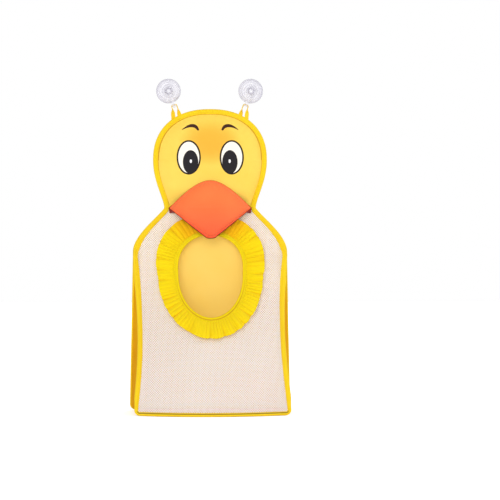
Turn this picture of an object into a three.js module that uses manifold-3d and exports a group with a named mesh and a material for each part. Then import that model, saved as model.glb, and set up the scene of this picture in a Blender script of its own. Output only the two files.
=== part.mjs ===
// A duck-shaped mesh bag for bath toys, hung by two ribbon loops from two suction-cup hooks.
// Millimetres, +Z up, front towards -Y. The origin lies under the middle of the base.

import * as THREE from 'three';
import { mergeVertices } from 'three/addons/utils/BufferGeometryUtils.js';
import Module from 'manifold-3d';

// Clearance between pieces that touch.
const GAP = 0.3;

// Outline of the bag seen from the front, over the edge tape.
const BASE_WIDTH = 236;
const SHOULDER_WIDTH = 226.5;
const NECK_WIDTH = 134.5;
const HEAD_WIDTH = 167;
const GUSSET_HEIGHT = 225;
const SHOULDER_HEIGHT = 71;
const CHEEK_HEIGHT = 70;
const CROWN_HEIGHT = 75;
const CROWN_FULL = 2.27;
const SHOULDER_ROUND = 31;
const NECK_ROUND = 14;
const NECK_DROP = 14;
const NECK_FLARE = 10;
const CHEEK_ROUND = 32;

// Depth of the bag and the swell of its mesh front.
const BASE_DEPTH = 110;
const FRONT_BASE_WIDTH = 224;
const FRONT_PINCH = 8.2;
const FRONT_BULGE = 22;
const BULGE_FALL = 4;
const GUSSET_FOLD = 6;
const GUSSET_TIP = 3;

// Cloth, folded edge tape and the round tape on the body's edges.
const PANEL = 1.2;
const TAPE = 1;
const TAPE_FLANGE = 6.7;
const TAPE_ROUND = 0.8;
const EDGE_TAPE_R = 2.2;
const EDGE_TAPE_SIDES = 8;
const EDGE_CORNER_R = 6;
const NECK_TAPE_WIDTH = 8;

// Padding of the face.
const HEAD_PAD = 8;
const HEAD_PAD_ROUND = 22;

// Oval opening with its casing, elastic and frill.
const MOUTH_WIDTH = 93.5;
const MOUTH_HEIGHT = 117.5;
const MOUTH_DROP = 98.5;
const MOUTH_FULL = 0.24;
const MOUTH_FULL_FROM = 0.12;
const CASING_WIDTH = 7;
const CASING_CLOTH = 1;
const ELASTIC_WIDTH = 3.3;
const FRILL_CLOTH = 1;
const FRILL_WIDTH = 23;
const FRILL_FULL = 5;
const FRILL_LIFT = 6.5;
const FRILL_WAVE = 3.6;
const FRILL_GATHERS = 24;
const FRILL_PRESSED_LIFT = 0.45;
const FRILL_PRESSED_WAVE = 0.25;
const FRILL_PRESSED_ANGLE = THREE.MathUtils.degToRad(26);
const FRILL_LOOSE_ANGLE = THREE.MathUtils.degToRad(52);
const FRILL_PROFILE = [{ share: 0.34, rise: 0.75 }, { share: 0.67, rise: 1 }, { share: 1, rise: 0.9 }];

// Padded beak, whose lower half stands off the bag.
const BEAK_WIDTH = 122;
const BEAK_RISE = 40.5;
const BEAK_DROP = 44.5;
const BEAK_ABOVE_NECK = 0.5;
const BEAK_PAD = 15;
const BEAK_CLOTH = 1;
const BEAK_SEAM = 4;
const BEAK_TILT = THREE.MathUtils.degToRad(21);
const BEAK_ARCH_FLAT = 22;
const BEAK_TIP_R = 9;

// Ribbon loops on the head's edge.
const LOOP_ANGLE = THREE.MathUtils.degToRad(56);
const LOOP_SPREAD = 13;
const LOOP_RISE = 20.4;
const LOOP_SHIFT = 4;
const RIBBON_WIDTH = 6.5;
const RIBBON = 1.6;

// Hooks and suction cups.
const HOOK_LEAN = THREE.MathUtils.degToRad(20);
const HOOK_BAR = 5.5;
const HOOK_PLATE = 2;
const HOOK_VALLEY_R = 5.2;
const HOOK_TIP_RISE = 3;
const HOOK_EYE_R = 7;
const HOOK_STEM = 18.5;
const CUP_R = 18;
const CUP_RIM_WIDTH = 2.6;
const CUP_RIM = 0.9;
const CUP_DISH = 3.6;
const CUP_BODY = 7.5;
const CUP_SHOULDER_R = 5.5;
const CUP_NECK_R = 3;
const CUP_KNOB_R = 5;
const CUP_KNOB = 3.3;

// Points along the curves.
const CURVE_STEPS = 8;
const SIDE_STEPS = 12;
const BASE_STEPS = 6;
const CORNER_STEPS = 3;
const NECK_STEPS = 12;
const MOUTH_STEPS = 48;
const MOUTH_TURN = 0.01;
const GATHER_STEPS = 5;
const CUP_STEPS = 24;
const CUP_ARC_STEPS = 3;
const PAD_SHARES = [0, 0.12, 0.28, 0.6];

// Places worked out from the sizes above.
const NECK_Z = GUSSET_HEIGHT + SHOULDER_HEIGHT;
const HEAD_MID_Z = NECK_Z + CHEEK_HEIGHT;
const BACK_Y = BASE_DEPTH / 2;
const STACK = 2 * PANEL + GAP;
const EDGE_Y = BACK_Y - STACK;
const FRONT_Y = -BASE_DEPTH / 2;
const EDGE_TAPE_Z = EDGE_TAPE_R + GAP;
const FLAT_MARGIN = TAPE_FLANGE + EDGE_TAPE_R;
const MOUTH_Z = NECK_Z - MOUTH_DROP;
const BEAK_Z = NECK_Z + BEAK_ABOVE_NECK;

const wasm = await Module();
wasm.setup();

const { clamp, lerp, smoothstep } = THREE.MathUtils;
const flat = (x, z) => new THREE.Vector2(x, z);
const mirrored = (points) => points.map((p) => flat(-p.x, p.y)).reverse();
const steps = (count) => Array.from({ length: count + 1 }, (_, i) => i / count);

// Face order of a flat ring, each triangle in the ring's own direction.
function ringFaces(ring) {
  const normal = new THREE.Vector3();
  ring.forEach((p, i) => {
    normal.add(new THREE.Vector3().crossVectors(p, ring[(i + 1) % ring.length]));
  });
  const across = new THREE.Vector3().subVectors(ring[1], ring[0]).normalize();
  const up = new THREE.Vector3().crossVectors(normal, across).normalize();
  const contour = ring.map((p) => flat(p.dot(across), p.dot(up)));
  return THREE.ShapeUtils.triangulateShape(contour, []).map((face) => [...face].sort((a, b) => a - b));
}

// Closed body through a row of rings: ends joined as a 'loop', closed by a 'cap' or by two poles.
// The second half of the rings has its diagonals turned, so that both faces of a sheet fold alike.
function skin(rings, ends) {
  const count = rings[0].length;
  const points = rings.flat();
  const last = (rings.length - 1) * count;
  const faces = [];
  const stitch = (low, high, turned) => {
    for (let i = 0; i < count; i += 1) {
      const j = (i + 1) % count;
      if (turned) {
        faces.push([low + i, low + j, high + i], [low + j, high + j, high + i]);
      } else {
        faces.push([low + i, low + j, high + j], [low + i, high + j, high + i]);
      }
    }
  };
  for (let k = 0; k < last; k += count) stitch(k, k + count, k >= last / 2);
  if (ends === 'loop') {
    stitch(last, 0, true);
  } else if (ends === 'cap') {
    ringFaces(rings[0]).forEach(([a, b, c]) => faces.push([c, b, a]));
    ringFaces(rings.at(-1)).forEach(([a, b, c]) => faces.push([last + a, last + b, last + c]));
  } else {
    const start = points.push(ends[0]) - 1;
    const end = points.push(ends[1]) - 1;
    for (let i = 0; i < count; i += 1) {
      const j = (i + 1) % count;
      faces.push([start, j, i], [end, last + i, last + j]);
    }
  }
  let volume = 0;
  faces.forEach(([a, b, c]) => {
    volume += points[a].dot(new THREE.Vector3().crossVectors(points[b], points[c]));
  });
  const outward = volume > 0 ? faces : faces.map(([a, b, c]) => [a, c, b]);
  const geometry = new THREE.BufferGeometry().setFromPoints(points);
  geometry.setIndex(outward.flat());
  geometry.computeVertexNormals();
  return geometry;
}

// Round tape along a row of points, with a ring of corners square to the way that it runs.
function tapeTube(points) {
  const turns = steps(EDGE_TAPE_SIDES).slice(1).map((t) => 2 * Math.PI * t);
  const rings = points.map((p, i) => {
    const before = points[Math.max(i - 1, 0)];
    const after = points[Math.min(i + 1, points.length - 1)];
    const along = new THREE.Vector3().subVectors(after, before).normalize();
    const side = new THREE.Vector3(0, 1, 0).cross(along).normalize();
    const up = new THREE.Vector3().crossVectors(along, side);
    return turns.map((a) => p.clone()
      .addScaledVector(side, EDGE_TAPE_R * Math.cos(a))
      .addScaledVector(up, EDGE_TAPE_R * Math.sin(a)));
  });
  return skin(rings, 'cap');
}

// Solid with merged corners, ready to be joined.
function solid(geometry) {
  const bare = geometry.clone();
  bare.deleteAttribute('normal');
  bare.deleteAttribute('uv');
  const merged = mergeVertices(bare);
  const vertProperties = new Float32Array(merged.attributes.position.array);
  const triVerts = new Uint32Array(merged.index.array);
  return new wasm.Manifold(new wasm.Mesh({ numProp: 3, vertProperties, triVerts }));
}

// Geometry of a joined solid.
function joined(body) {
  const mesh = body.getMesh();
  const geometry = new THREE.BufferGeometry();
  geometry.setAttribute('position', new THREE.BufferAttribute(mesh.vertProperties, mesh.numProp));
  geometry.setIndex(new THREE.BufferAttribute(mesh.triVerts, 1));
  geometry.computeVertexNormals();
  return geometry;
}

// Sheet cut to a front-view outline, lying with its back at y = back.
function uprightSheet(outline, thickness, back) {
  const shape = new THREE.Shape(outline);
  const geometry = new THREE.ExtrudeGeometry(shape, { depth: thickness, bevelEnabled: false });
  geometry.rotateX(Math.PI / 2);
  geometry.translate(0, back, 0);
  return geometry;
}

// Points moved sideways to the left of the way that they run.
function inset(points, distance) {
  return points.map((p, i) => {
    const before = points[Math.max(i - 1, 0)];
    const after = points[Math.min(i + 1, points.length - 1)];
    const along = after.clone().sub(before).normalize();
    return flat(p.x - along.y * distance, p.y + along.x * distance);
  });
}

// Crown of the head at an angle above its widest line: an oval that is fuller than an ellipse.
function crownPoint(angle) {
  const power = 2 / CROWN_FULL;
  return flat((HEAD_WIDTH / 2) * Math.cos(angle) ** power, HEAD_MID_Z + CROWN_HEIGHT * Math.sin(angle) ** power);
}
const crown = steps(2 * CURVE_STEPS).slice(1).map((t) => crownPoint((t * Math.PI) / 2));

// Right half of the head and shoulders over the tape, from the gusset's top to the crown.
const headPath = new THREE.Path();
headPath.moveTo(SHOULDER_WIDTH / 2, GUSSET_HEIGHT + GAP / 2);
headPath.lineTo(SHOULDER_WIDTH / 2, GUSSET_HEIGHT + TAPE_FLANGE);
headPath.bezierCurveTo(
  SHOULDER_WIDTH / 2, GUSSET_HEIGHT + SHOULDER_ROUND,
  NECK_WIDTH / 2 + NECK_FLARE, NECK_Z - NECK_DROP,
  NECK_WIDTH / 2, NECK_Z,
);
headPath.bezierCurveTo(
  NECK_WIDTH / 2, NECK_Z + NECK_ROUND,
  HEAD_WIDTH / 2, HEAD_MID_Z - CHEEK_ROUND,
  HEAD_WIDTH / 2, HEAD_MID_Z,
);
const rightHead = [...headPath.getPoints(CURVE_STEPS), ...crown];
const headOutline = [...rightHead, ...mirrored(rightHead).slice(1)];
const headEdge = inset(headOutline, TAPE + GAP);

// Half of the bag's width over the tape at a height up to the head's widest line.
function halfWidth(z) {
  if (z <= GUSSET_HEIGHT) return lerp(BASE_WIDTH, SHOULDER_WIDTH, z / GUSSET_HEIGHT) / 2;
  const above = Math.max(rightHead.findIndex((p) => p.y > z), 1);
  const low = rightHead[above - 1];
  const high = rightHead[above];
  return lerp(low.x, high.x, (z - low.y) / (high.y - low.y));
}

// Half of the distance between the tapes of the body's back edges and of its front edges.
const backHalf = (z) => halfWidth(z) - EDGE_TAPE_R;
const frontHalf = (z) => {
  const up = clamp(z / GUSSET_HEIGHT, 0, 1);
  return lerp(FRONT_BASE_WIDTH / 2, backHalf(GUSSET_HEIGHT), up) - FRONT_PINCH * Math.sin(Math.PI * up);
};

// Front face of the mesh panel: its sides curve forward to the base, and it swells between them.
function frontY(x, z) {
  const down = clamp((GUSSET_HEIGHT - z) / (GUSSET_HEIGHT - EDGE_TAPE_Z), 0, 1);
  const side = lerp(EDGE_Y, FRONT_Y, smoothstep(down, 0, 1));
  const reach = (z > GUSSET_HEIGHT ? halfWidth(z) : frontHalf(z)) - FLAT_MARGIN;
  const inward = clamp(1 - Math.abs(x) / reach, 0, 1);
  const up = clamp(z / (NECK_Z - FLAT_MARGIN), 0, 1);
  return side - FRONT_BULGE * (1 - up ** BULGE_FALL) * (1 - (1 - inward) ** 2);
}

// Front face of the padded face panel, flat along its edges.
function faceY(x, z) {
  const aside = Math.abs(x) / (HEAD_WIDTH / 2);
  const above = Math.max(z - HEAD_MID_Z, 0) / CROWN_HEIGHT;
  const tall = (aside ** CROWN_FULL + above ** CROWN_FULL) ** (1 / CROWN_FULL);
  const toSide = z > HEAD_MID_Z ? (1 - tall) * CROWN_HEIGHT : halfWidth(z) - Math.abs(x);
  const sideRise = clamp((toSide - FLAT_MARGIN) / HEAD_PAD_ROUND, 0, 1);
  const neckRise = clamp((z - NECK_Z - FLAT_MARGIN) / HEAD_PAD_ROUND, 0, 1);
  return EDGE_Y - HEAD_PAD * (1 - (1 - sideRise) ** 2) * (1 - (1 - neckRise) ** 2);
}

// Heights of the points on a body edge's side, above its round corner.
const cornerZ = EDGE_TAPE_Z + EDGE_CORNER_R;
const sideLevels = steps(SIDE_STEPS).map((t) => lerp(cornerZ, GUSSET_HEIGHT - GAP / 2, t));

// Path of a body edge in front view, down the left side from the gusset's top and up the right.
function bodyEdge(half) {
  const inner = half(cornerZ) - EDGE_CORNER_R;
  const turn = steps(CORNER_STEPS).slice(1, -1).map((t) => (t * Math.PI) / 2);
  const right = [
    ...steps(BASE_STEPS).map((t) => flat(t * inner, EDGE_TAPE_Z)),
    ...turn.map((a) => flat(inner + EDGE_CORNER_R * Math.sin(a), cornerZ - EDGE_CORNER_R * Math.cos(a))),
    ...sideLevels.map((z) => flat(half(z), z)),
  ];
  return [...mirrored(right).slice(0, -1), ...right];
}
const frontEdge = bodyEdge(frontHalf);
const backEdge = bodyEdge(backHalf);
const frontSeam = inset(frontEdge, EDGE_TAPE_R + GAP);
const backSeam = inset(backEdge, EDGE_TAPE_R + GAP);

// Back panel, from base to crown in one cut.
const backPanel = () => uprightSheet([...backSeam, ...headEdge.slice(1, -1)], PANEL, BACK_Y);

// Disc-like sheet over an outline: rings run from the back's middle round the edge to the front's middle.
// Inside the seam, a ring's share tells how far it lies on the way from the seam to the middle.
function pad(rings, middle, backOf, frontOf) {
  const place = (side) => (ring) => ring.points.map((p) => {
    return new THREE.Vector3(p.x, side(p.x, p.y, ring.share), p.y);
  });
  const poles = [backOf, frontOf].map((side) => {
    return new THREE.Vector3(middle.x, side(middle.x, middle.y, 1), middle.y);
  });
  return skin([...rings.map(place(backOf)).reverse(), ...rings.map(place(frontOf))], poles);
}

// Rings of a padded outline: its edge, the end of its seam and the shares from there to the middle.
function padRings(outline, middle, seam) {
  const sewn = outline.map((p) => p.clone().add(middle.clone().sub(p).setLength(seam)));
  const ringAt = (share) => ({ share, points: sewn.map((p) => p.clone().lerp(middle, share)) });
  return [{ share: 0, points: outline }, ...PAD_SHARES.map(ringAt)];
}

// Face panel and the foam behind it.
const neckHalf = halfWidth(NECK_Z) - TAPE - GAP;
const neckLine = (z) => steps(NECK_STEPS).slice(1, -1).map((t) => flat(lerp(-neckHalf, neckHalf, t), z));
const headMiddle = flat(0, HEAD_MID_Z);
const faceOutline = [
  ...neckLine(NECK_Z + GAP / 2),
  flat(neckHalf, NECK_Z + GAP / 2),
  ...headEdge.filter((p) => p.y > NECK_Z + GAP),
  flat(-neckHalf, NECK_Z + GAP / 2),
];
const faceRings = padRings(faceOutline, headMiddle, TAPE_FLANGE);
const facePanel = () => pad(faceRings, headMiddle, (x, z) => faceY(x, z) + PANEL, faceY);
const headFoam = () => {
  const foamBack = () => EDGE_Y + PANEL;
  const foamFront = (x, z) => faceY(x, z) + PANEL + GAP;
  return pad(faceRings.slice(2), headMiddle, foamBack, foamFront);
};

// Edge of the opening at an angle: an oval that is fuller above its middle.
function mouthEdge(angle) {
  const up = Math.max(Math.sin(angle), 0);
  const full = 1 + (MOUTH_FULL * up ** 2) / (up + MOUTH_FULL_FROM);
  return flat((MOUTH_WIDTH / 2) * full * Math.cos(angle), MOUTH_Z + (MOUTH_HEIGHT / 2) * Math.sin(angle));
}

// Point at a distance outside the opening's edge, square to that edge.
function outsideMouth(angle, outside) {
  const along = mouthEdge(angle + MOUTH_TURN).sub(mouthEdge(angle - MOUTH_TURN)).normalize();
  return mouthEdge(angle).addScaledVector(flat(along.y, -along.x), outside);
}

// Ring round the opening. Its distance outside the edge may change with the angle.
function mouthRing(count, outsideAt) {
  return steps(count).slice(1).map((t) => {
    const angle = 2 * Math.PI * t;
    return { angle, at: outsideMouth(angle, outsideAt(angle)) };
  });
}

// Ring of a section round the opening. Section points are [distance from the hole, depth off the mesh].
function mouthBand(section) {
  const rings = section.map(([outside, depth]) => mouthRing(MOUTH_STEPS, () => outside).map(({ at }) => {
    return new THREE.Vector3(at.x, frontY(at.x, at.y) + depth, at.y);
  }));
  return skin(rings, 'loop');
}

// Mesh panel between the opening and the outer seams.
const meshInner = CASING_CLOTH + ELASTIC_WIDTH + 3 * GAP;
function meshPanel() {
  const outer = [
    ...frontSeam,
    ...headEdge.slice(1).filter((p) => p.x > 0 && p.y < NECK_Z - GAP),
    flat(neckHalf, NECK_Z - GAP / 2),
    ...neckLine(NECK_Z - GAP / 2).reverse(),
    flat(-neckHalf, NECK_Z - GAP / 2),
    ...headEdge.slice(0, -1).filter((p) => p.x < 0 && p.y < NECK_Z - GAP),
  ];
  const rings = outer.map((p) => {
    const angle = Math.atan2((p.y - MOUTH_Z) / MOUTH_HEIGHT, p.x / MOUTH_WIDTH);
    const inner = outsideMouth(angle, meshInner);
    const clear = outsideMouth(angle, CASING_WIDTH + GAP);
    const margin = p.clone().add(clear.clone().sub(p).setLength(TAPE_FLANGE));
    const between = [1 / 3, 2 / 3].map((t) => margin.clone().lerp(clear, t));
    const row = [p, margin, ...between, clear, inner];
    const front = row.map((q) => new THREE.Vector3(q.x, frontY(q.x, q.y), q.y));
    const back = front.map((q) => new THREE.Vector3(q.x, q.y + PANEL, q.z)).reverse();
    return [...front, ...back];
  });
  return skin(rings, 'loop');
}

// Casing folded over the mesh and the frill, with the elastic in its fold.
const foldFront = -FRILL_CLOTH - 2 * GAP;
const foldBack = PANEL + GAP;
const casing = () => mouthBand([
  [CASING_WIDTH, foldFront - CASING_CLOTH],
  [TAPE_ROUND, foldFront - CASING_CLOTH],
  [0, foldFront],
  [0, foldBack],
  [TAPE_ROUND, foldBack + CASING_CLOTH],
  [CASING_WIDTH, foldBack + CASING_CLOTH],
  [CASING_WIDTH, foldBack],
  [CASING_CLOTH, foldBack],
  [CASING_CLOTH, foldFront],
  [CASING_WIDTH, foldFront],
]);
const elastic = () => mouthBand([
  [CASING_CLOTH + GAP, foldFront + GAP],
  [CASING_CLOTH + GAP, foldBack - GAP],
  [CASING_CLOTH + GAP + ELASTIC_WIDTH, foldBack - GAP],
  [CASING_CLOTH + GAP + ELASTIC_WIDTH, foldFront + GAP],
]);

// Frill: sewn flat in the casing, then standing off the mesh in gathers that grow to its free edge.
function frill() {
  const rows = [
    { out: meshInner, rise: 0, share: 0 },
    { out: CASING_WIDTH + 2 * GAP, rise: 0, share: 0 },
    ...FRILL_PROFILE.map(({ share, rise }) => ({ out: CASING_WIDTH + share * FRILL_WIDTH, rise, share })),
  ];
  const placed = ({ rise, share }) => ({ angle, at }) => {
    const loose = smoothstep(Math.abs(angle - Math.PI / 2), FRILL_PRESSED_ANGLE, FRILL_LOOSE_ANGLE);
    const lift = FRILL_LIFT * rise * lerp(FRILL_PRESSED_LIFT, 1, loose);
    const wave = FRILL_WAVE * share * lerp(FRILL_PRESSED_WAVE, 1, loose) * Math.sin(FRILL_GATHERS * angle);
    return new THREE.Vector3(at.x, frontY(at.x, at.y) - GAP - lift - wave, at.y);
  };
  const upperCorner = (angle) => 2 * Math.max(Math.sin(angle), 0) * Math.abs(Math.cos(angle));
  const outAt = ({ out, share }) => (angle) => out + FRILL_FULL * share * upperCorner(angle);
  const rings = rows.map((row) => mouthRing(FRILL_GATHERS * GATHER_STEPS, outAt(row)).map(placed(row)));
  const front = rings.map((ring) => ring.map((p) => new THREE.Vector3(p.x, p.y - FRILL_CLOTH, p.z)));
  return skin([...rings, ...front.reverse()], 'loop');
}

// Depth of the front edge's tape: it follows the mesh, and stays in front of the back tape near the top.
const frontTapeY = (x, z) => Math.min(frontY(x, z), EDGE_Y - 2 * EDGE_TAPE_R) + PANEL / 2;

// Gusset: a triangle between the front and the back edge tape, folded in along its middle.
// A slanting tape is wider in a level cut, by the slope of the steepest part of the front edge.
function gusset(side) {
  const slant = Math.hypot(1, (3 * BASE_DEPTH) / (2 * GUSSET_HEIGHT));
  const seam = EDGE_TAPE_R * slant + GAP;
  const frontAt = (z) => flat(frontHalf(z), frontTapeY(frontHalf(z), z));
  const backAt = (z) => flat(backHalf(z), BACK_Y - PANEL / 2);
  const span = (z) => frontAt(z).distanceTo(backAt(z)) - 2 * seam;
  const levels = [PANEL + GAP, ...sideLevels].filter((z) => span(z) > GUSSET_TIP);
  const rows = levels.map((z) => {
    const along = backAt(z).sub(frontAt(z)).setLength(seam);
    const start = frontAt(z).add(along);
    const end = backAt(z).sub(along);
    const middle = start.clone().lerp(end, 1 / 2);
    middle.x -= GUSSET_FOLD * clamp(span(z) / BASE_DEPTH, 0, 1);
    const line = [start, middle, end];
    const outer = line.map((p) => new THREE.Vector3(side * (p.x + PANEL / 2), p.y, z));
    const inner = line.map((p) => new THREE.Vector3(side * (p.x - PANEL / 2), p.y, z)).reverse();
    return [...outer, ...inner];
  });
  return skin(rows, 'cap');
}

// Base, with a front edge that follows the swell of the mesh.
function bottomPanel() {
  const backLimit = BACK_Y - PANEL / 2 - EDGE_TAPE_R - GAP;
  const right = [
    ...steps(2 * BASE_STEPS).map((t) => {
      const x = t * frontHalf(0);
      return flat(x, frontY(x, EDGE_TAPE_Z) + PANEL / 2 + EDGE_TAPE_R + GAP);
    }),
    flat(frontHalf(0) + PANEL / 2, FRONT_Y + PANEL / 2 + EDGE_TAPE_R + GAP),
    flat(backHalf(0) + PANEL / 2, backLimit),
  ];
  const outline = [...right, ...mirrored(right).slice(0, -1)];
  return new THREE.ExtrudeGeometry(new THREE.Shape(outline), { depth: PANEL, bevelEnabled: false });
}

// Tape folded over the edges of head and shoulders.
function headBinding() {
  const inFront = EDGE_Y - GAP;
  const behind = BACK_Y + GAP;
  const section = [
    [TAPE_FLANGE, inFront - TAPE],
    [TAPE_ROUND, inFront - TAPE],
    [0, inFront],
    [0, behind],
    [TAPE_ROUND, behind + TAPE],
    [TAPE_FLANGE, behind + TAPE],
    [TAPE_FLANGE, behind],
    [TAPE, behind],
    [TAPE, inFront],
    [TAPE_FLANGE, inFront],
  ];
  const lines = section.map(([depth]) => inset(headOutline, depth));
  const rings = headOutline.map((_, i) => section.map(([, y], k) => {
    return new THREE.Vector3(lines[k][i].x, y, lines[k][i].y);
  }));
  return skin(rings, 'cap');
}

// Round tape on the edges of the mesh panel and of the back panel.
const frontBinding = () => tapeTube(frontEdge.map((p) => new THREE.Vector3(p.x, frontTapeY(p.x, p.y), p.y)));
const backBinding = () => tapeTube(backEdge.map((p) => new THREE.Vector3(p.x, BACK_Y - PANEL / 2, p.y)));

// Flat tape over the seam between face and mesh.
function neckTape() {
  const half = halfWidth(NECK_Z) - TAPE_FLANGE - GAP;
  const corners = [[-1, -1], [1, -1], [1, 1], [-1, 1]];
  const outline = corners.map(([x, z]) => flat(x * half, NECK_Z + (z * NECK_TAPE_WIDTH) / 2));
  return uprightSheet(outline, TAPE, EDGE_Y - GAP);
}

// Beak: arched above its corners, pointed below, sewn to the face and standing off below it.
const beakPath = new THREE.Path();
beakPath.moveTo(0, BEAK_Z - BEAK_DROP);
beakPath.quadraticCurveTo(
  BEAK_TIP_R / 2, BEAK_Z - BEAK_DROP,
  BEAK_TIP_R, BEAK_Z - BEAK_DROP * (1 - BEAK_TIP_R / BEAK_WIDTH),
);
beakPath.lineTo(BEAK_WIDTH / 4, BEAK_Z - BEAK_DROP / 2);
beakPath.lineTo(BEAK_WIDTH / 2, BEAK_Z);
beakPath.quadraticCurveTo(BEAK_ARCH_FLAT, BEAK_Z + BEAK_RISE, 0, BEAK_Z + BEAK_RISE);
const rightBeak = beakPath.getPoints(CURVE_STEPS);
const beakOutline = [...rightBeak, ...mirrored(rightBeak).slice(1, -1)];
const beakMiddle = flat(0, BEAK_Z);
const beakRings = padRings(beakOutline, beakMiddle, BEAK_SEAM);
const beakBack = (x, z) => EDGE_Y - HEAD_PAD - GAP - Math.max(BEAK_Z - z, 0) * Math.tan(BEAK_TILT);
const beakInside = (x, z) => beakBack(x, z) - BEAK_CLOTH - GAP;
const beakSwell = (x, z, share) => beakInside(x, z) - BEAK_PAD * Math.sqrt(1 - (1 - share) ** 2);
const beakLining = () => pad(beakRings, beakMiddle, beakBack, (x, z) => beakBack(x, z) - BEAK_CLOTH);
const beakCover = () => {
  return pad(beakRings, beakMiddle, beakSwell, (x, z, share) => beakSwell(x, z, share) - BEAK_CLOTH);
};
const beakFilling = () => {
  return pad(beakRings.slice(2), beakMiddle, beakInside, (x, z, share) => beakSwell(x, z, share) + GAP);
};

// Foot of a loop on the right of the head, its outward direction, and the middle of the hook's valley.
const loopFoot = crownPoint(LOOP_ANGLE);
const loopOut = flat(
  loopFoot.x ** (CROWN_FULL - 1) / (HEAD_WIDTH / 2) ** CROWN_FULL,
  (loopFoot.y - HEAD_MID_Z) ** (CROWN_FULL - 1) / CROWN_HEIGHT ** CROWN_FULL,
).normalize();
const valley = flat(loopFoot.x + LOOP_SHIFT, loopFoot.y + LOOP_RISE);
const LOOP_Y = BACK_Y - STACK / 2;

// Ribbon loop: both ends on the head's tape, its top lying across the hook's valley.
function loop(side) {
  const lean = flat(Math.sin(HOOK_LEAN), Math.cos(HOOK_LEAN));
  const across = flat(lean.y, -lean.x);
  const valleyPoint = (x, z) => valley.clone().addScaledVector(across, x).addScaledVector(lean, z);
  const lie = -Math.sqrt((HOOK_VALLEY_R - GAP) ** 2 - (RIBBON_WIDTH / 2) ** 2);
  const leg = HOOK_BAR / 2 + GAP + RIBBON;
  const below = -HOOK_VALLEY_R - HOOK_PLATE - GAP;
  const along = flat(loopOut.y, -loopOut.x);
  const foot = (sign, thick) => {
    const shift = (sign * (LOOP_SPREAD + thick)) / 2;
    return loopFoot.clone().addScaledVector(along, shift).addScaledVector(loopOut, GAP);
  };
  const half = (sign) => [
    [valleyPoint(sign * (leg - RIBBON), lie), valleyPoint(sign * (leg - RIBBON / 2), lie + RIBBON)],
    [valleyPoint(sign * (leg - RIBBON), lie - GAP), valleyPoint(sign * leg, lie + RIBBON / 2)],
    [valleyPoint(sign * (leg - RIBBON), below), valleyPoint(sign * leg, below)],
    [foot(sign, -RIBBON), foot(sign, RIBBON)],
  ];
  const stations = [...half(-1).reverse(), ...half(1)];
  const rings = stations.map(([inner, outer]) => {
    const near = LOOP_Y - RIBBON_WIDTH / 2;
    const far = LOOP_Y + RIBBON_WIDTH / 2;
    return [[inner, near], [outer, near], [outer, far], [inner, far]].map(([p, y]) => {
      return new THREE.Vector3(side * p.x, y, p.y);
    });
  });
  return skin(rings, 'cap');
}

// Hook about its valley: a plate with an eye for the cup's neck, ending in a valley and a raised tip.
function hook() {
  const eye = new THREE.Shape();
  const barTop = HOOK_STEM - Math.sqrt(HOOK_EYE_R ** 2 - (HOOK_BAR / 2) ** 2);
  const start = Math.atan2(barTop - HOOK_STEM, HOOK_BAR / 2);
  eye.moveTo(-HOOK_BAR / 2, 0);
  eye.lineTo(HOOK_BAR / 2, 0);
  eye.absarc(0, HOOK_STEM, HOOK_EYE_R, start, Math.PI - start);
  eye.closePath();
  eye.holes.push(new THREE.Path().absarc(0, HOOK_STEM, CUP_NECK_R + GAP, 0, 2 * Math.PI, true));
  const plate = new THREE.ExtrudeGeometry(eye, {
    depth: HOOK_PLATE,
    bevelEnabled: false,
    curveSegments: CUP_STEPS,
  });
  plate.rotateX(Math.PI / 2);
  plate.translate(0, HOOK_VALLEY_R + HOOK_PLATE, 0);
  const outer = HOOK_VALLEY_R + HOOK_PLATE;
  const curl = new THREE.Shape();
  curl.moveTo(HOOK_VALLEY_R, HOOK_PLATE);
  curl.lineTo(HOOK_VALLEY_R, 0);
  curl.absarc(0, 0, HOOK_VALLEY_R, 0, -Math.PI, true);
  curl.lineTo(-HOOK_VALLEY_R, HOOK_TIP_RISE);
  curl.lineTo(-outer, HOOK_TIP_RISE);
  curl.lineTo(-outer, 0);
  curl.absarc(0, 0, outer, -Math.PI, 0, false);
  curl.lineTo(outer, HOOK_PLATE);
  const valleyBar = new THREE.ExtrudeGeometry(curl, {
    depth: HOOK_BAR,
    bevelEnabled: false,
    curveSegments: CUP_STEPS / 2,
  });
  valleyBar.translate(0, 0, -HOOK_BAR / 2);
  valleyBar.applyMatrix4(new THREE.Matrix4().makeBasis(
    new THREE.Vector3(0, 1, 0), new THREE.Vector3(0, 0, 1), new THREE.Vector3(1, 0, 0),
  ));
  return joined(solid(plate).add(solid(valleyBar)));
}

// Suction cup turned about its stem, from the knob in front of the hook to the rim on the wall.
const CUP_FRONT = CUP_BODY + HOOK_PLATE + 2 * GAP;
const WALL_Y = HOOK_VALLEY_R + HOOK_PLATE + GAP + CUP_BODY;
function suctionCup() {
  const profile = new THREE.Path();
  profile.absellipse(0, CUP_FRONT, CUP_KNOB_R, CUP_KNOB, Math.PI / 2, 0, true);
  profile.lineTo(CUP_NECK_R, CUP_FRONT);
  profile.lineTo(CUP_NECK_R, CUP_BODY);
  profile.lineTo(CUP_SHOULDER_R, CUP_BODY);
  profile.lineTo(CUP_R, CUP_RIM);
  profile.lineTo(CUP_R, 0);
  profile.absellipse(0, 0, CUP_R - CUP_RIM_WIDTH, CUP_DISH, 0, Math.PI / 2);
  const ahead = profile.getPoints(CUP_ARC_STEPS).map((p) => flat(p.x, WALL_Y - p.y));
  return new THREE.LatheGeometry(ahead, CUP_STEPS);
}

// Named piece with its own finish.
function piece(name, geometry, finish) {
  const mesh = new THREE.Mesh(geometry, new THREE.MeshStandardMaterial(finish));
  mesh.name = name;
  return mesh;
}

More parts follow.
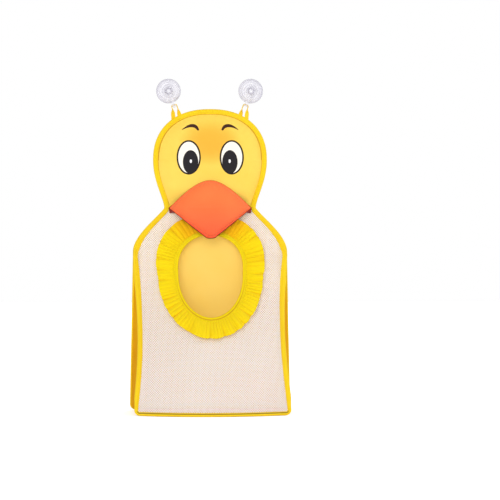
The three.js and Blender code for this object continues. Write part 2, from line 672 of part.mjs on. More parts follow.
const cloth = (color) => ({ color, roughness: 0.85, metalness: 0 });
const YELLOW = 0xf6c23a;
const TAPE_YELLOW = 0xf8cf1c;
const MESH_WHITE = 0xf3e9e4;
const ORANGE = 0xef6f3c;
const DARK_RED = 0xa93a26;
const FOAM = 0xf4f0e2;
const clear = { color: 0xe8eaee, roughness: 0.1, metalness: 0, transparent: true, opacity: 0.4 };

const organizer = new THREE.Group();
organizer.add(
  piece('back_panel', backPanel(), cloth(YELLOW)),
  piece('head_front_panel', facePanel(), cloth(YELLOW)),
  piece('head_foam', headFoam(), cloth(FOAM)),
  piece('front_mesh_panel', meshPanel(), cloth(MESH_WHITE)),
  piece('bottom_panel', bottomPanel(), cloth(YELLOW)),
  piece('head_binding', headBinding(), cloth(TAPE_YELLOW)),
  piece('front_binding', frontBinding(), cloth(TAPE_YELLOW)),
  piece('back_binding', backBinding(), cloth(TAPE_YELLOW)),
  piece('neck_seam_tape', neckTape(), cloth(TAPE_YELLOW)),
  piece('opening_casing', casing(), cloth(TAPE_YELLOW)),
  piece('opening_elastic', elastic(), cloth(FOAM)),
  piece('opening_frill', frill(), cloth(TAPE_YELLOW)),
  piece('beak_cover', beakCover(), cloth(ORANGE)),
  piece('beak_filling', beakFilling(), cloth(FOAM)),
  piece('beak_lining', beakLining(), cloth(DARK_RED)),
);
[['left', -1], ['right', 1]].forEach(([name, side]) => {
  organizer.add(
    piece(`${name}_gusset`, gusset(side), cloth(YELLOW)),
    piece(`${name}_loop`, loop(side), cloth(TAPE_YELLOW)),
  );
  const hanger = new THREE.Group();
  hanger.position.set(side * valley.x, LOOP_Y, valley.y);
  hanger.rotation.y = side * HOOK_LEAN;
  const cup = piece(`${name}_suction_cup`, suctionCup(), clear);
  cup.position.z = HOOK_STEM;
  hanger.add(piece(`${name}_hook`, hook(), clear), cup);
  organizer.add(hanger);
});

export default organizer;
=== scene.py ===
# %% [markdown]
# A bag for bath toys, cut in the shape of a duck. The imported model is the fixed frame: it knows where every
# piece lies and how it moves. This lesson sews the looks around that frame, piece by piece, in metres.

import bpy
import numpy as np
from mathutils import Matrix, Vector


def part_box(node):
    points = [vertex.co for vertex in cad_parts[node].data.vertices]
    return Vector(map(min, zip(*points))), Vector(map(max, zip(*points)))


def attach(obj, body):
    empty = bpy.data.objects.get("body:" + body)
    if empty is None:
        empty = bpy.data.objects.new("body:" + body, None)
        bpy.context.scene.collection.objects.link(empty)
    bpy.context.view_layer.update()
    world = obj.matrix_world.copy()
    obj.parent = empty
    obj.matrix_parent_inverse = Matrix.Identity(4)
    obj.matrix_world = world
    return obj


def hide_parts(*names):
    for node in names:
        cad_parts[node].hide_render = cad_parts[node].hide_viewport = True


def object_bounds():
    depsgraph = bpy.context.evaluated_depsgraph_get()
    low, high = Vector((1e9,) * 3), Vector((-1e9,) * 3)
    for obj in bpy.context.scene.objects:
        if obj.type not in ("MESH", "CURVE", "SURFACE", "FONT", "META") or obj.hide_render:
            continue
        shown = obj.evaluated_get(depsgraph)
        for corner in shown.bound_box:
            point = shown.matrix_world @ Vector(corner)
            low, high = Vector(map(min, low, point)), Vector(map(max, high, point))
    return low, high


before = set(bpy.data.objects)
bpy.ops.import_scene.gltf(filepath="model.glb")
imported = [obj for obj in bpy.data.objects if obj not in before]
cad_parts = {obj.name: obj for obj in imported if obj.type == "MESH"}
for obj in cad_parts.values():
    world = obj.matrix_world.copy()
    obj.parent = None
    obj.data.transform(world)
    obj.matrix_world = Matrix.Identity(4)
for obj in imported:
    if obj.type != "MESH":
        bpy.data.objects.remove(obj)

cad_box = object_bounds()

# %% [markdown]
# The driving sizes are those of the solids, so that each cloth lies where its solid lies. What a solid's
# own box tells is read from the frame. The cuts between those places are repeated as plain sizes.

# %% Sizes of the bag
MM = 0.001
SIDES = (("left", -1), ("right", 1))
_, back_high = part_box("back_panel")
casing_low, casing_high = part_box("opening_casing")
beak_low, beak_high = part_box("beak_lining")

BASE_WIDTH = 236 * MM
SHOULDER_WIDTH = 226.5 * MM
NECK_WIDTH = 134.5 * MM
HEAD_WIDTH = 167 * MM
GUSSET_HEIGHT = 225 * MM
NECK_Z = 296 * MM
HEAD_MID_Z = 366 * MM
CROWN_HEIGHT = 75 * MM
CROWN_FULL = 2.27
SHOULDER_ROUND = 31 * MM
NECK_ROUND = 14 * MM
NECK_DROP = 14 * MM
NECK_FLARE = 10 * MM
CHEEK_ROUND = 32 * MM

BASE_DEPTH = 2 * back_high.y
FRONT_BASE_WIDTH = 224 * MM
FRONT_PINCH = 8.2 * MM
FRONT_BULGE = 22 * MM
BULGE_FALL = 4
GUSSET_FOLD = 6 * MM
PANEL = 1.2 * MM
GAP = 0.3 * MM
TAPE_FLANGE = 6.7 * MM
EDGE_TAPE_R = 2.2 * MM
EDGE_CORNER = 6 * MM
HEAD_PAD = 8 * MM
HEAD_PAD_ROUND = 22 * MM
MOUTH_WIDTH = 93.5 * MM
CASING_WIDTH = 7 * MM

BACK_Y = back_high.y
EDGE_Y = BACK_Y - 2 * PANEL - GAP
LAYERS_Y = (EDGE_Y + BACK_Y) / 2
EDGE_TAPE_Z = EDGE_TAPE_R + GAP
CORNER_Z = EDGE_TAPE_Z + EDGE_CORNER
FLAT_MARGIN = TAPE_FLANGE + EDGE_TAPE_R
UNDER_TAPE = TAPE_FLANGE / 4
MOUTH_Z = (casing_low.z + casing_high.z) / 2
MOUTH_HALF = np.array([MOUTH_WIDTH / 2, casing_high.z - MOUTH_Z - CASING_WIDTH])
print("opening:", (2 * MOUTH_HALF / MM).round(1), "mm at height", round(MOUTH_Z / MM, 1))

# %% [markdown]
# Seen from the front, the bag is one outline: upright sides, round shoulders, a neck and a nearly round
# head. A chain of two soft curves and a full quarter oval draws the right half, and the left half mirrors
# it.

# %% Outline of head and shoulders
def xyz(x, y, z):
    """Points from their three coordinates, each stretched over the whole grid."""
    return np.stack(np.broadcast_arrays(x, y, z), -1)


def full_turn(count):
    """Angles of a whole turn, evenly spread, without its end."""
    return np.linspace(0, 2 * np.pi, count, endpoint=False)


def unit(vectors):
    """Vectors of length one."""
    return vectors / np.linalg.norm(vectors, axis=-1, keepdims=True)


def soft_curve(start, leave, arrive, end, count=60):
    """Cubic curve: the four points weighted by t's shares (1-t)^3, 3t(1-t)^2, 3t^2(1-t) and t^3."""
    t = np.linspace(0, 1, count)[:, None]
    start, leave, arrive, end = (np.array(p) for p in (start, leave, arrive, end))
    return (1 - t) ** 3 * start + 3 * t * (1 - t) ** 2 * leave + 3 * t ** 2 * (1 - t) * arrive + t ** 3 * end


def crown_point(turn):
    """Point (x, z) of the crown: cosine and sine of the turn, each to the power 2 / n of a full oval."""
    across = HEAD_WIDTH / 2 * np.cos(turn) ** (2 / CROWN_FULL)
    return np.stack([across, HEAD_MID_Z + CROWN_HEIGHT * np.sin(turn) ** (2 / CROWN_FULL)], -1)


def right_outline():
    """Right half over the tape as (x, z), from the gusset's top to the crown."""
    shoulder = (SHOULDER_WIDTH / 2, GUSSET_HEIGHT + TAPE_FLANGE)
    neck = (NECK_WIDTH / 2, NECK_Z)
    cheek = (HEAD_WIDTH / 2, HEAD_MID_Z)
    rise = soft_curve(
        shoulder, (shoulder[0], GUSSET_HEIGHT + SHOULDER_ROUND),
        (neck[0] + NECK_FLARE, NECK_Z - NECK_DROP), neck,
    )
    face = soft_curve(neck, (neck[0], NECK_Z + NECK_ROUND), (cheek[0], HEAD_MID_Z - CHEEK_ROUND), cheek)
    crown = crown_point(np.linspace(0, np.pi / 2, 90))
    return np.concatenate([[(shoulder[0], GUSSET_HEIGHT)], rise, face[1:], crown[1:]])


def length_along(line):
    """Length used up to each point of a line."""
    return np.concatenate([[0], np.cumsum(np.linalg.norm(np.diff(line, axis=0), axis=1))])


def resample(line, count):
    """The same line with its points evenly spread along its length."""
    run = length_along(line)
    at = np.linspace(0, run[-1], count)
    return np.stack([np.interp(at, run, column) for column in line.T], 1)


def mirrored(line):
    """A right half (x, z) that starts on the middle line, joined to its mirror image on the left."""
    return np.concatenate([line[::-1] * (-1, 1), line[1:]])


def closed(right, count):
    """A right half (x, z) with both ends on the middle line, closed by its mirror image to a ring."""
    whole = np.concatenate([right, right[-2:0:-1] * (-1, 1)])
    return resample(np.concatenate([whole, whole[:1]]), count + 1)[:-1]


def inset(line, distance):
    """A flat line moved to the left of the way that it runs."""
    along = unit(np.gradient(line, axis=0))
    return line + distance * np.stack([-along[:, 1], along[:, 0]], 1)


right_half = right_outline()
head_outline = resample(np.concatenate([right_half, right_half[-2::-1] * (-1, 1)]), 480)
print("outline over the head:", round(length_along(head_outline)[-1], 3), "m")

# %% [markdown]
# Three functions then give the bag its depth. The body's edges have a half width at each height, the mesh
# front swells forward between its seams, and the face rises over its foam. Every later piece asks these
# three functions where it lies, so the layers keep their order.

# %% Depth of the bag
MESH_SLACK = 2.2 * MM
MESH_SLACK_STRETCH = 0.7
SEAM_FADE = 26 * MM


def smooth(t):
    """Smooth step: 3t^2 - 2t^3 on t held between 0 and 1."""
    t = np.clip(t, 0, 1)
    return t * t * (3 - 2 * t)


def bell(value, at, half):
    """Bell curve about a place: exp(-((value - at) / half)^2)."""
    return np.exp(-((value - at) / half) ** 2)


def ripple(x, z, seed, waves=9, longest=120 * MM):
    """Soft unevenness of hanging cloth between -1 and 1: a mean of plane waves of seeded directions."""
    draw = np.random.default_rng(seed)
    turn = draw.uniform(0, np.pi, waves)
    pitch = longest * draw.uniform(0.35, 1, waves)
    start = draw.uniform(0, 2 * np.pi, waves)
    across = x[..., None] * np.cos(turn) + z[..., None] * np.sin(turn)
    return np.sin(2 * np.pi * across / pitch + start).mean(-1) * np.sqrt(waves) / 2


def half_width(z):
    """Half of the outline's width: straight sides up to the gusset's top, the drawn outline above it."""
    side = np.interp(z, [0, GUSSET_HEIGHT], [BASE_WIDTH / 2, SHOULDER_WIDTH / 2])
    return np.where(z <= GUSSET_HEIGHT, side, np.interp(z, right_half[:, 1], right_half[:, 0]))


def back_half(z):
    """Half of the distance between the back edges' tapes."""
    return half_width(z) - EDGE_TAPE_R


def front_half(z):
    """Half of the distance between the front edges' tapes: a straight taper less half a sine wave."""
    up = np.clip(z / GUSSET_HEIGHT, 0, 1)
    top = SHOULDER_WIDTH / 2 - EDGE_TAPE_R
    return FRONT_BASE_WIDTH / 2 * (1 - up) + top * up - FRONT_PINCH * np.sin(np.pi * up)


def body_side(half, z):
    """Half width of a body edge, with a quarter circle at its lower corner."""
    drop = np.clip(CORNER_Z - z, 0, EDGE_CORNER)
    return half(np.maximum(z, CORNER_Z)) - EDGE_CORNER + np.sqrt(EDGE_CORNER ** 2 - drop ** 2)


def front_y(x, z):
    """Front of the mesh: sides that curve forward to the base, a parabola's swell between them, and slow
    waves of slack net that die out at the seams."""
    down = (GUSSET_HEIGHT - z) / (GUSSET_HEIGHT - EDGE_TAPE_Z)
    side = EDGE_Y - (EDGE_Y + BACK_Y) * smooth(down)
    reach = np.where(z > GUSSET_HEIGHT, half_width(z), front_half(z)) - FLAT_MARGIN
    inward = np.clip(1 - np.abs(x) / reach, 0, 1)
    fall = 1 - np.clip(z / (NECK_Z - FLAT_MARGIN), 0, 1) ** BULGE_FALL
    swell = FRONT_BULGE * fall * (1 - (1 - inward) ** 2)
    slack = MESH_SLACK * smooth(3 * inward) * smooth(z / SEAM_FADE) * fall
    return side - swell + slack * ripple(np.asarray(x), np.asarray(z) * MESH_SLACK_STRETCH, seed=5)


def to_head_side(x, z):
    """Distance to the head's outline: below its middle level with x, above it by the oval's own level."""
    above = np.maximum(z - HEAD_MID_Z, 0) / CROWN_HEIGHT
    tall = (np.abs(x / (HEAD_WIDTH / 2)) ** CROWN_FULL + above ** CROWN_FULL) ** (1 / CROWN_FULL)
    return np.where(z > HEAD_MID_Z, (1 - tall) * CROWN_HEIGHT, half_width(z) - np.abs(x))


def face_y(x, z):
    """Front of the padded face: flat along its seams, then a parabola's rise to the foam's thickness."""
    side_rise = np.clip((to_head_side(x, z) - FLAT_MARGIN) / HEAD_PAD_ROUND, 0, 1)
    neck_rise = np.clip((z - NECK_Z - FLAT_MARGIN) / HEAD_PAD_ROUND, 0, 1)
    return EDGE_Y - HEAD_PAD * (1 - (1 - side_rise) ** 2) * (1 - (1 - neck_rise) ** 2)


print("mesh front reaches y", round(float(front_y(np.array(0), np.array(EDGE_TAPE_Z))), 4))

# %% [markdown]
# A piece of cloth is a grid of points, one row after another. The helper below turns such a grid into faces
# in one step. It also lays a UV map that counts metres of thread along both directions, so a weave keeps
# its scale on every piece and follows its curves.

# %% From a grid of points to a mesh
TUBE = {"wrap": (False, True), "ends": (True, True)}
DISC = {"wrap": (False, True), "ends": (False, True)}
RING = {"wrap": (True, True)}
FRONTWARD = (0, -1, 0)
UPWARD = (0, 0, 1)


def put_mesh(name, points, faces):
    """Piece at the origin. faces lists (corner numbers, UV lengths), with equal corner counts in each."""
    mesh = bpy.data.meshes.new(name)
    corners = np.concatenate([numbers.ravel() for numbers, _ in faces])
    counts = np.concatenate([np.full(len(numbers), numbers.shape[1]) for numbers, _ in faces])
    mesh.vertices.add(len(points))
    mesh.vertices.foreach_set("co", points.astype(np.float32).ravel())
    mesh.loops.add(len(corners))
    mesh.loops.foreach_set("vertex_index", corners.astype(np.int32))
    mesh.polygons.add(len(counts))
    mesh.polygons.foreach_set("loop_start", (np.cumsum(counts) - counts).astype(np.int32))
    mesh.update(calc_edges=True)
    mesh.shade_smooth()
    lengths = np.concatenate([uv.reshape(-1, 2) for _, uv in faces])
    mesh.uv_layers.new(name="thread").data.foreach_set("uv", lengths.astype(np.float32).ravel())
    piece = bpy.data.objects.new(name, mesh)
    bpy.context.scene.collection.objects.link(piece)
    return piece


def running(grid, axis, wrap):
    """Mean length of cloth used up to each row of a grid, counted along one of its directions."""
    ahead = np.roll(grid, -1, axis) if wrap else np.delete(grid, 0, axis)
    behind = grid if wrap else np.delete(grid, -1, axis)
    return np.concatenate([[0], np.cumsum(np.linalg.norm(ahead - behind, axis=2).mean(1 - axis))])


def outward(points, faces, toward=None):
    """Faces turned to the outside: by the sign of a closed body's volume, or towards a given direction."""
    fans = [part[:, [0, k, k + 1]] for part, _ in faces for k in range(1, part.shape[1] - 1)]
    a, b, c = (points[np.concatenate(fans)[:, k]] for k in range(3))
    if toward is None:
        facing = (a * np.cross(b, c)).sum()
    else:
        facing = (np.cross(b - a, c - a) @ np.array(toward)).sum()
    return faces if facing > 0 else [(part[:, ::-1], uv[:, ::-1]) for part, uv in faces]


def on_front(points, numbers):
    """Faces with a UV map that is the front view, for small pieces whose weave doesn't show."""
    return numbers, points[numbers][..., [0, 2]]


def cloth_piece(name, grid, wrap=(False, False), ends=(False, False), toward=None):
    """Mesh on a grid: cell (i, j) is a four-sided face. wrap joins the last row or column to the first one,
    and ends tells whether the first and the last row are closed by a fan about their middle."""
    rows, columns = grid.shape[:2]
    i, j = np.meshgrid(np.arange(rows - (not wrap[0])), np.arange(columns - (not wrap[1])), indexing="ij")
    u, v = running(grid, 0, wrap[0]), running(grid, 1, wrap[1])
    corners = [(i, j), (i + 1, j), (i + 1, j + 1), (i, j + 1)]
    numbers = np.stack([(a % rows) * columns + b % columns for a, b in corners], -1).reshape(-1, 4)
    lengths = np.stack([np.stack([u[a], v[b]], -1) for a, b in corners], 2).reshape(-1, 4, 2)
    points, faces = grid.reshape(-1, 3), [(numbers, lengths)]
    for row, turn in ((0, 1), (rows - 1, -1)):
        if ends[row > 0]:
            ring = row * columns + np.arange(columns)
            fan = np.stack([np.full(columns, len(points)), ring, np.roll(ring, -1)], 1)
            fan[:, 1:] = fan[:, 1:][:, ::turn]
            points = np.concatenate([points, grid[row].mean(0)[None]])
            faces.append(on_front(points, fan))
    return put_mesh(name, points, outward(points, faces, toward))


def thicken(piece, thickness, offset=-1):
    """Gives a sheet its cloth's thickness, behind its face unless the offset says otherwise."""
    solidify = piece.modifiers.new("cloth", "SOLIDIFY")
    solidify.thickness = thickness
    solidify.offset = offset
    return piece


def store(piece, **shares):
    """Keeps numbers under their names, one for each of a piece's points."""
    for name, values in shares.items():
        layer = piece.data.attributes.new(name, "FLOAT", "POINT")
        layer.data.foreach_set("value", values.astype(np.float32).ravel())


def dress(piece, material, slot, *nodes, body="bag"):
    """Puts a finished piece on its body, in the place of its solids, with its material. The slot is not used.
    """
    piece.data.materials.append(material)
    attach(piece, body)
    if nodes:
        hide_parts(*nodes)
    print(f"{piece.name}: {len(piece.data.polygons)} faces")
    return piece


# %% [markdown]
# Materials come next. A colour is written as it looks on a screen and turned into light. One small helper
# adds a node and links what feeds it, which keeps the node trees as short to read as a recipe.

# %% Colours and nodes
def screen(red, green, blue):
    """Light of a screen colour: each share c becomes ((c + 0.055) / 1.055)^2.4."""
    share = np.array([red, green, blue]) / 255
    return (*np.where(share <= 0.04045, share / 12.92, ((share + 0.055) / 1.055) ** 2.4), 1.0)


def feed(tree, node, feeds):
    """Gives a node's inputs, by name or number, either a value or another node's output."""
    for name, value in feeds.items():
        if isinstance(value, bpy.types.NodeSocket):
            tree.links.new(value, node.inputs[name])
        else:
            node.inputs[name].default_value = value


def add(tree, kind, feeds=None, **settings):
    """New node with its settings and what feeds it."""
    made = tree.nodes.new("ShaderNode" + kind)
    for name, value in settings.items():
        setattr(made, name, value)
    feed(tree, made, feeds or {})
    return made


def maths(tree, operation, *values):
    """Output of a Math node on one to three values."""
    return add(tree, "Math", dict(enumerate(values)), operation=operation).outputs[0]


def mixed(tree, share, first, second):
    """Colour between two colours by a share."""
    node = add(tree, "Mix", {0: share, 6: first, 7: second}, data_type="RGBA", clamp_factor=True)
    return node.outputs[2]


def between(tree, value, low, high, kind="LINEAR"):
    """Share from 0 to 1 as a value goes from low to high."""
    feeds = {"Value": value, "From Min": low, "From Max": high}
    return add(tree, "MapRange", feeds, interpolation_type=kind).outputs[0]


def own_place(tree):
    """Coordinates of the piece itself."""
    return add(tree, "TexCoord").outputs["Object"]


def noise(tree, scale, detail, distortion=0.0):
    """Noise from 0 to 1 on the piece's own coordinates, with so many grains to the metre."""
    feeds = {"Vector": own_place(tree), "Scale": scale, "Detail": detail, "Distortion": distortion}
    return add(tree, "TexNoise", feeds).outputs["Fac"]


def stored(tree, name):
    """The number that is kept on a piece's points under a name."""
    return add(tree, "Attribute", attribute_name=name).outputs["Fac"]


def bumped(tree, strength, distance, height):
    """Normal of a surface with a fine relief."""
    return add(tree, "Bump", {"Strength": strength, "Distance": distance, "Height": height}).outputs[0]


def new_material(name):
    """Empty material, with its node tree and its Principled shader."""
    material = bpy.data.materials.new(name)
    material.use_nodes = True
    print("material:", name)
    return material, material.node_tree, material.node_tree.nodes["Principled BSDF"]


def show(tree, shader):
    """Makes a shader the surface of its material."""
    feed(tree, tree.nodes["Material Output"], {"Surface": shader.outputs[0]})


# %% [markdown]
# Most of the bag is plain woven cloth. Up close it is a small chequer of threads that pass over and under
# each other, so its height is the product of two sine waves. Where that height is low the colour is darker,
# as painted shade in the weave's gaps. Dye never takes evenly, so a slow noise moves the colour a little.
# Thin cloth also lets some light through, which a translucent share adds.

# %% Woven cloth
DYE_BLOT = 45 * MM


def weave_height(tree, thread):
    """Height of a plain weave: sine along the one direction times sine along the other."""
    split = add(tree, "SeparateXYZ", {0: add(tree, "TexCoord").outputs["UV"]})
    waves = [maths(tree, "SINE", maths(tree, "MULTIPLY", split.outputs[k], np.pi / thread)) for k in (0, 1)]
    return maths(tree, "MULTIPLY", *waves)


def dye_share(tree, size):
    """Slow unevenness of a dye, from 0 to 1, with blots of about the given size."""
    return between(tree, noise(tree, 1 / size, 4.0), 0.3, 0.7)


def woven(tree, shader, colour, shade, thread, relief):
    """Feeds a shader with a woven cloth's colour, roughness and relief; the colour is darker in the weave's
    gaps as painted shade.
    """
    height = weave_height(tree, thread)
    # painted shade: a larger share of the shade colour where the weave is low
    under = maths(tree, "MULTIPLY_ADD", height, -0.22, 0.25)
    share = maths(tree, "MULTIPLY_ADD", dye_share(tree, DYE_BLOT), 0.5, under)
    feed(tree, shader, {
        "Base Color": mixed(tree, share, colour, shade),
        "Roughness": maths(tree, "MULTIPLY_ADD", height, -0.06, 0.82),
        "Normal": bumped(tree, relief, thread / 3, height),
        "Specular IOR Level": 0.25,
        "Sheen Weight": 0.1,
        "Sheen Roughness": 0.5,
    })


def let_light_through(tree, shader, colour, share):
    """Mixes in a translucent share, as thin cloth has it."""
    through = add(tree, "BsdfTranslucent", {"Color": colour})
    show(tree, add(tree, "MixShader", {0: share, 1: shader.outputs[0], 2: through.outputs[0]}))


def with_painted_shade(tree, shader, name, deep):
    """Mixes a shader's colour towards a deeper one by a share that is stored on the points, for painted shade
    and painted reflection.
    """
    plain = shader.inputs["Base Color"].links[0].from_socket
    feed(tree, shader, {"Base Color": mixed(tree, stored(tree, name), plain, deep)})


def cloth(name, colour, shade, thread=0.55 * MM, relief=0.35, through=0.0, glow=None, deep=(), matt=False):
    """Woven cloth of a colour that dyes towards a shade, which also lies in the weave's gaps as painted
    shade, with threads of a width. A share of light may pass through it in the colour of its glow, and stored
    shares may lay further painted shade on its colour."""
    material, tree, shader = new_material(name)
    woven(tree, shader, colour, shade, thread, relief)
    # each stored share lays painted shade of its tone
    for stored_share, tone in deep:
        with_painted_shade(tree, shader, stored_share, tone)
    if matt:
        feed(tree, shader, {"Sheen Weight": 0.0, "Specular IOR Level": 0.05})
    if through:
        let_light_through(tree, shader, glow or colour, through)
    return material


panel_cloth = cloth("panel_cloth", screen(253, 229, 134), screen(250, 220, 112), through=0.34)
gusset_cloth = cloth("gusset_cloth", screen(250, 190, 18), screen(244, 170, 8), through=0.2, matt=True)
# painted shade: the dark line between bead and lip along the base
CREASE_SHADE_TONES = [("crease", screen(122, 92, 28))]
tape_cloth = cloth("tape_cloth", screen(245, 212, 26), screen(238, 197, 14), 0.45 * MM, deep=CREASE_SHADE_TONES)
ribbon_cloth = cloth("ribbon_cloth", screen(250, 214, 40), screen(240, 190, 24), 0.5 * MM)
lining_cloth = cloth("lining_cloth", screen(150, 36, 22), screen(116, 24, 16))

# %% [markdown]
# The stage is a plain pale floor in even light. A bright world fills the shadows, and a large soft lamp in
# front, a little to the left, gives the folds their shape. Weaker ones light the sides and the back. The
# camera stands far away with a long lens, almost straight in front, a little from the left and a little
# above.

# %% Floor, light and camera
CAMERA_AWAY = 5.0
CAMERA_AZIMUTH = np.radians(-2.8)
CAMERA_RISE = np.radians(2.2)
CAMERA_SEES = 50
PICTURE_WIDTH = 500
OBJECT_MIDDLE = (211.4, 245.7)
METRES_PER_PIXEL = 1.452 * MM
SURROUNDINGS = 0.52
FLOOR_GLOW = 0.42
FLOOR_HALF = 3.0
FLOOR_Z = -0.2 * MM
WHITE = (1, 1, 1, 1)
LAMP_AIM = np.array([0, 0, 0.2])
LAMPS = [
    ("key_lamp", np.array([-0.5, -2.5, 1.1]), 2.2, 41),
    ("side_lamp", np.array([2.2, -0.2, 1.1]), 1.4, 11),
    ("back_lamp", np.array([0.5, 2.5, 1.3]), 1.6, 26),
]


def turned_along(direction):
    """Turn that points a lamp or a camera along a direction, upright."""
    return Vector(direction).to_track_quat("-Z", "Y").to_euler()


def seen_directly(tree):
    """1 for rays that come from the camera, from a reflection or through clear plastic, and else 0."""
    path = add(tree, "LightPath").outputs
    seen = maths(tree, "MAXIMUM", path["Is Camera Ray"], path["Is Glossy Ray"])
    return maths(tree, "MAXIMUM", seen, path["Is Transmission Ray"])


def pale_floor():
    """Wide floor that shows as white to the camera and still takes the bag's shadow."""
    span = np.array([-FLOOR_HALF, FLOOR_HALF])
    floor = cloth_piece("floor", xyz(span[:, None], span, FLOOR_Z), toward=UPWARD)
    material, tree, shader = new_material("pale_floor")
    white = mixed(tree, noise(tree, 1.5, 2.0), screen(252, 252, 252), screen(249, 249, 249))
    feed(tree, shader, {"Base Color": white, "Roughness": 0.9})
    strength = maths(tree, "MULTIPLY", seen_directly(tree), FLOOR_GLOW)
    glow = add(tree, "Emission", {"Color": WHITE, "Strength": strength})
    show(tree, add(tree, "AddShader", {0: shader.outputs[0], 1: glow.outputs[0]}))
    floor.data.materials.append(material)


def soft_light():
    """Even white surroundings, white to the camera, and large lamps in front, at the right and behind."""
    world = bpy.data.worlds.new("studio")
    bpy.context.scene.world = world
    world.use_nodes = True
    tree = world.node_tree
    strength = maths(tree, "MULTIPLY_ADD", seen_directly(tree), 1 - SURROUNDINGS, SURROUNDINGS)
    feed(tree, tree.nodes["Background"], {"Color": WHITE, "Strength": strength})
    for name, place, size, power in LAMPS:
        lamp = bpy.data.lights.new(name, "AREA")
        lamp.shape = "DISK"
        lamp.size = size
        lamp.energy = power
        holder = bpy.data.objects.new(name, lamp)
        holder.location = place
        holder.rotation_euler = turned_along(LAMP_AIM - place)
        bpy.context.scene.collection.objects.link(holder)
    print("lamps:", len(LAMPS))


def front_camera():
    """Camera that puts the bag's middle on its place in the picture, at the picture's scale."""
    data = bpy.data.cameras.new("camera")
    data.lens = data.sensor_width * CAMERA_AWAY / (PICTURE_WIDTH * METRES_PER_PIXEL)
    data.clip_end = CAMERA_SEES
    camera = bpy.data.objects.new("camera", data)
    back = np.array([
        np.sin(CAMERA_AZIMUTH) * np.cos(CAMERA_RISE),
        -np.cos(CAMERA_AZIMUTH) * np.cos(CAMERA_RISE),
        np.sin(CAMERA_RISE),
    ])
    aside, below = (PICTURE_WIDTH / 2 - np.array(OBJECT_MIDDLE)) * METRES_PER_PIXEL
    middle = (cad_box[0].z + cad_box[1].z) / 2
    camera.location = np.array([aside, 0, middle - below]) + CAMERA_AWAY * back
    camera.rotation_euler = turned_along(-back)
    bpy.context.scene.collection.objects.link(camera)
    bpy.context.scene.camera = camera
    bpy.context.scene.view_settings.view_transform = "Standard"
    print("camera:", round(data.lens), "mm lens,", CAMERA_AWAY, "m away")


pale_floor()
soft_light()
front_camera()

# %% [markdown]
# The back panel is one cut of yellow cloth from base to crown. It shows through the opening and from
# behind. A flat plane would look like card, so the cloth is given slow waves that die out at its seams.
# Rows of the grid follow the outline, so the edge is clean and needs no trimming.

# %% Back panel
BACK_WAVE = 1.8 * MM
TOP_ROW_HALF = 2 * MM


def back_panel():
    """Rows across the outline: x = u times the half width at each height, y waves where it is free."""
    z = np.linspace(EDGE_TAPE_Z, GUSSET_HEIGHT, 120)
    side = np.stack([body_side(back_half, z) - GAP, z], 1)
    head = inset(right_half, UNDER_TAPE)
    edge = resample(np.concatenate([side, head[1:]]), 230)
    half, z = np.maximum(edge[:, :1], TOP_ROW_HALF), edge[:, 1:]
    x = half * np.linspace(-1, 1, 121)
    off_sides = smooth((half - np.abs(x)) / SEAM_FADE)
    body_free = off_sides * smooth(z / SEAM_FADE) * smooth((NECK_Z - z) / SEAM_FADE)
    head_free = off_sides * smooth((z - NECK_Z) / SEAM_FADE)
    wave = BACK_WAVE * body_free * ripple(x, z / 2, seed=3)
    swell = BACK_WAVE / 2 * head_free * (1 + ripple(x, z, seed=4))
    return xyz(x, BACK_Y - PANEL + wave + swell, z)


back = thicken(cloth_piece("back_panel_cloth", back_panel(), toward=FRONTWARD), PANEL)
dress(back, panel_cloth, "yellow_cloth", "back_panel")

# %% [markdown]
# Each side is closed by a gusset, a triangle of cloth that is widest at the base and folded in along its
# middle so that the bag can lie flat. It is a ruled surface: each level is a line from the front seam to
# the back seam, drawn inwards by a soft crease.

# %% Gussets and base
TAPE_TUCK = 16 * MM
GUSSET_CREASE = 1.25
GUSSET_SLACK = 1.1 * MM
GUSSET_WAVE = 70 * MM
BACK_SEAM_Y = BACK_Y - PANEL / 2


def tape_y(x, z):
    """Depth of the front edge's tape: on the mesh, in front of the back tape near its top, and at the very
    top tucked back into the head's tape by a smooth step."""
    free = np.minimum(front_y(x, z), EDGE_Y - 2 * EDGE_TAPE_R) + PANEL / 2
    return free + smooth((z - GUSSET_HEIGHT) / TAPE_TUCK) * (LAYERS_Y - free)


def gusset(side):
    """Line from the front seam (t = 0) to the back seam (t = 1), less a crease, deepest at t = 1/2."""
    corner = CORNER_Z - EDGE_CORNER * np.cos(np.linspace(0, np.pi / 2, 9))
    z = np.concatenate([corner, np.linspace(CORNER_Z, GUSSET_HEIGHT, 110)[1:]])[:, None]
    t = np.linspace(0, 1, 61)
    front, rear = body_side(front_half, z), body_side(back_half, z)
    near = tape_y(front, z)
    deep = BACK_SEAM_Y - near
    y = near + deep * t
    share = np.clip(deep / BASE_DEPTH, 0, 1)
    crease = GUSSET_FOLD * share * (1 - np.abs(2 * t - 1)) ** GUSSET_CREASE
    slack = GUSSET_SLACK * ripple(y, z, seed=8 + side, longest=GUSSET_WAVE) * np.sin(np.pi * t) * share
    return xyz(side * (front + (rear - front) * t - crease + slack), y, z)


for name, side in SIDES:
    wall = cloth_piece(f"{name}_gusset_cloth", gusset(side), toward=(side, 0, 0))
    dress(thicken(wall, PANEL, 0), gusset_cloth, "yellow_cloth", f"{name}_gusset")


def base_panel():
    """Sheet on the floor: across by a share of the width, back by a share of the depth."""
    t, s = np.linspace(-1, 1, 81)[:, None], np.linspace(0, 1, 31)
    low = np.array(EDGE_TAPE_Z)
    front, rear = body_side(front_half, low), body_side(back_half, low)
    near = tape_y(t * front, low)
    return xyz(t * (front + (rear - front) * s), near + (BACK_SEAM_Y - near) * s, PANEL)


base = thicken(cloth_piece("base_cloth", base_panel(), toward=UPWARD), PANEL)
dress(base, gusset_cloth, "yellow_cloth", "bottom_panel")

# %% [markdown]
# The front is an open net. A picture of holes on a sheet would look wrong from the side, so the net is
# real: at each crossing four corners, in front and behind, and between crossings a strand with four walls.
# The crossings are every second point of a square lattice, which turns its cells into diamonds. Where a
# strand is missing at the net's edge, a small wall closes the crossing.

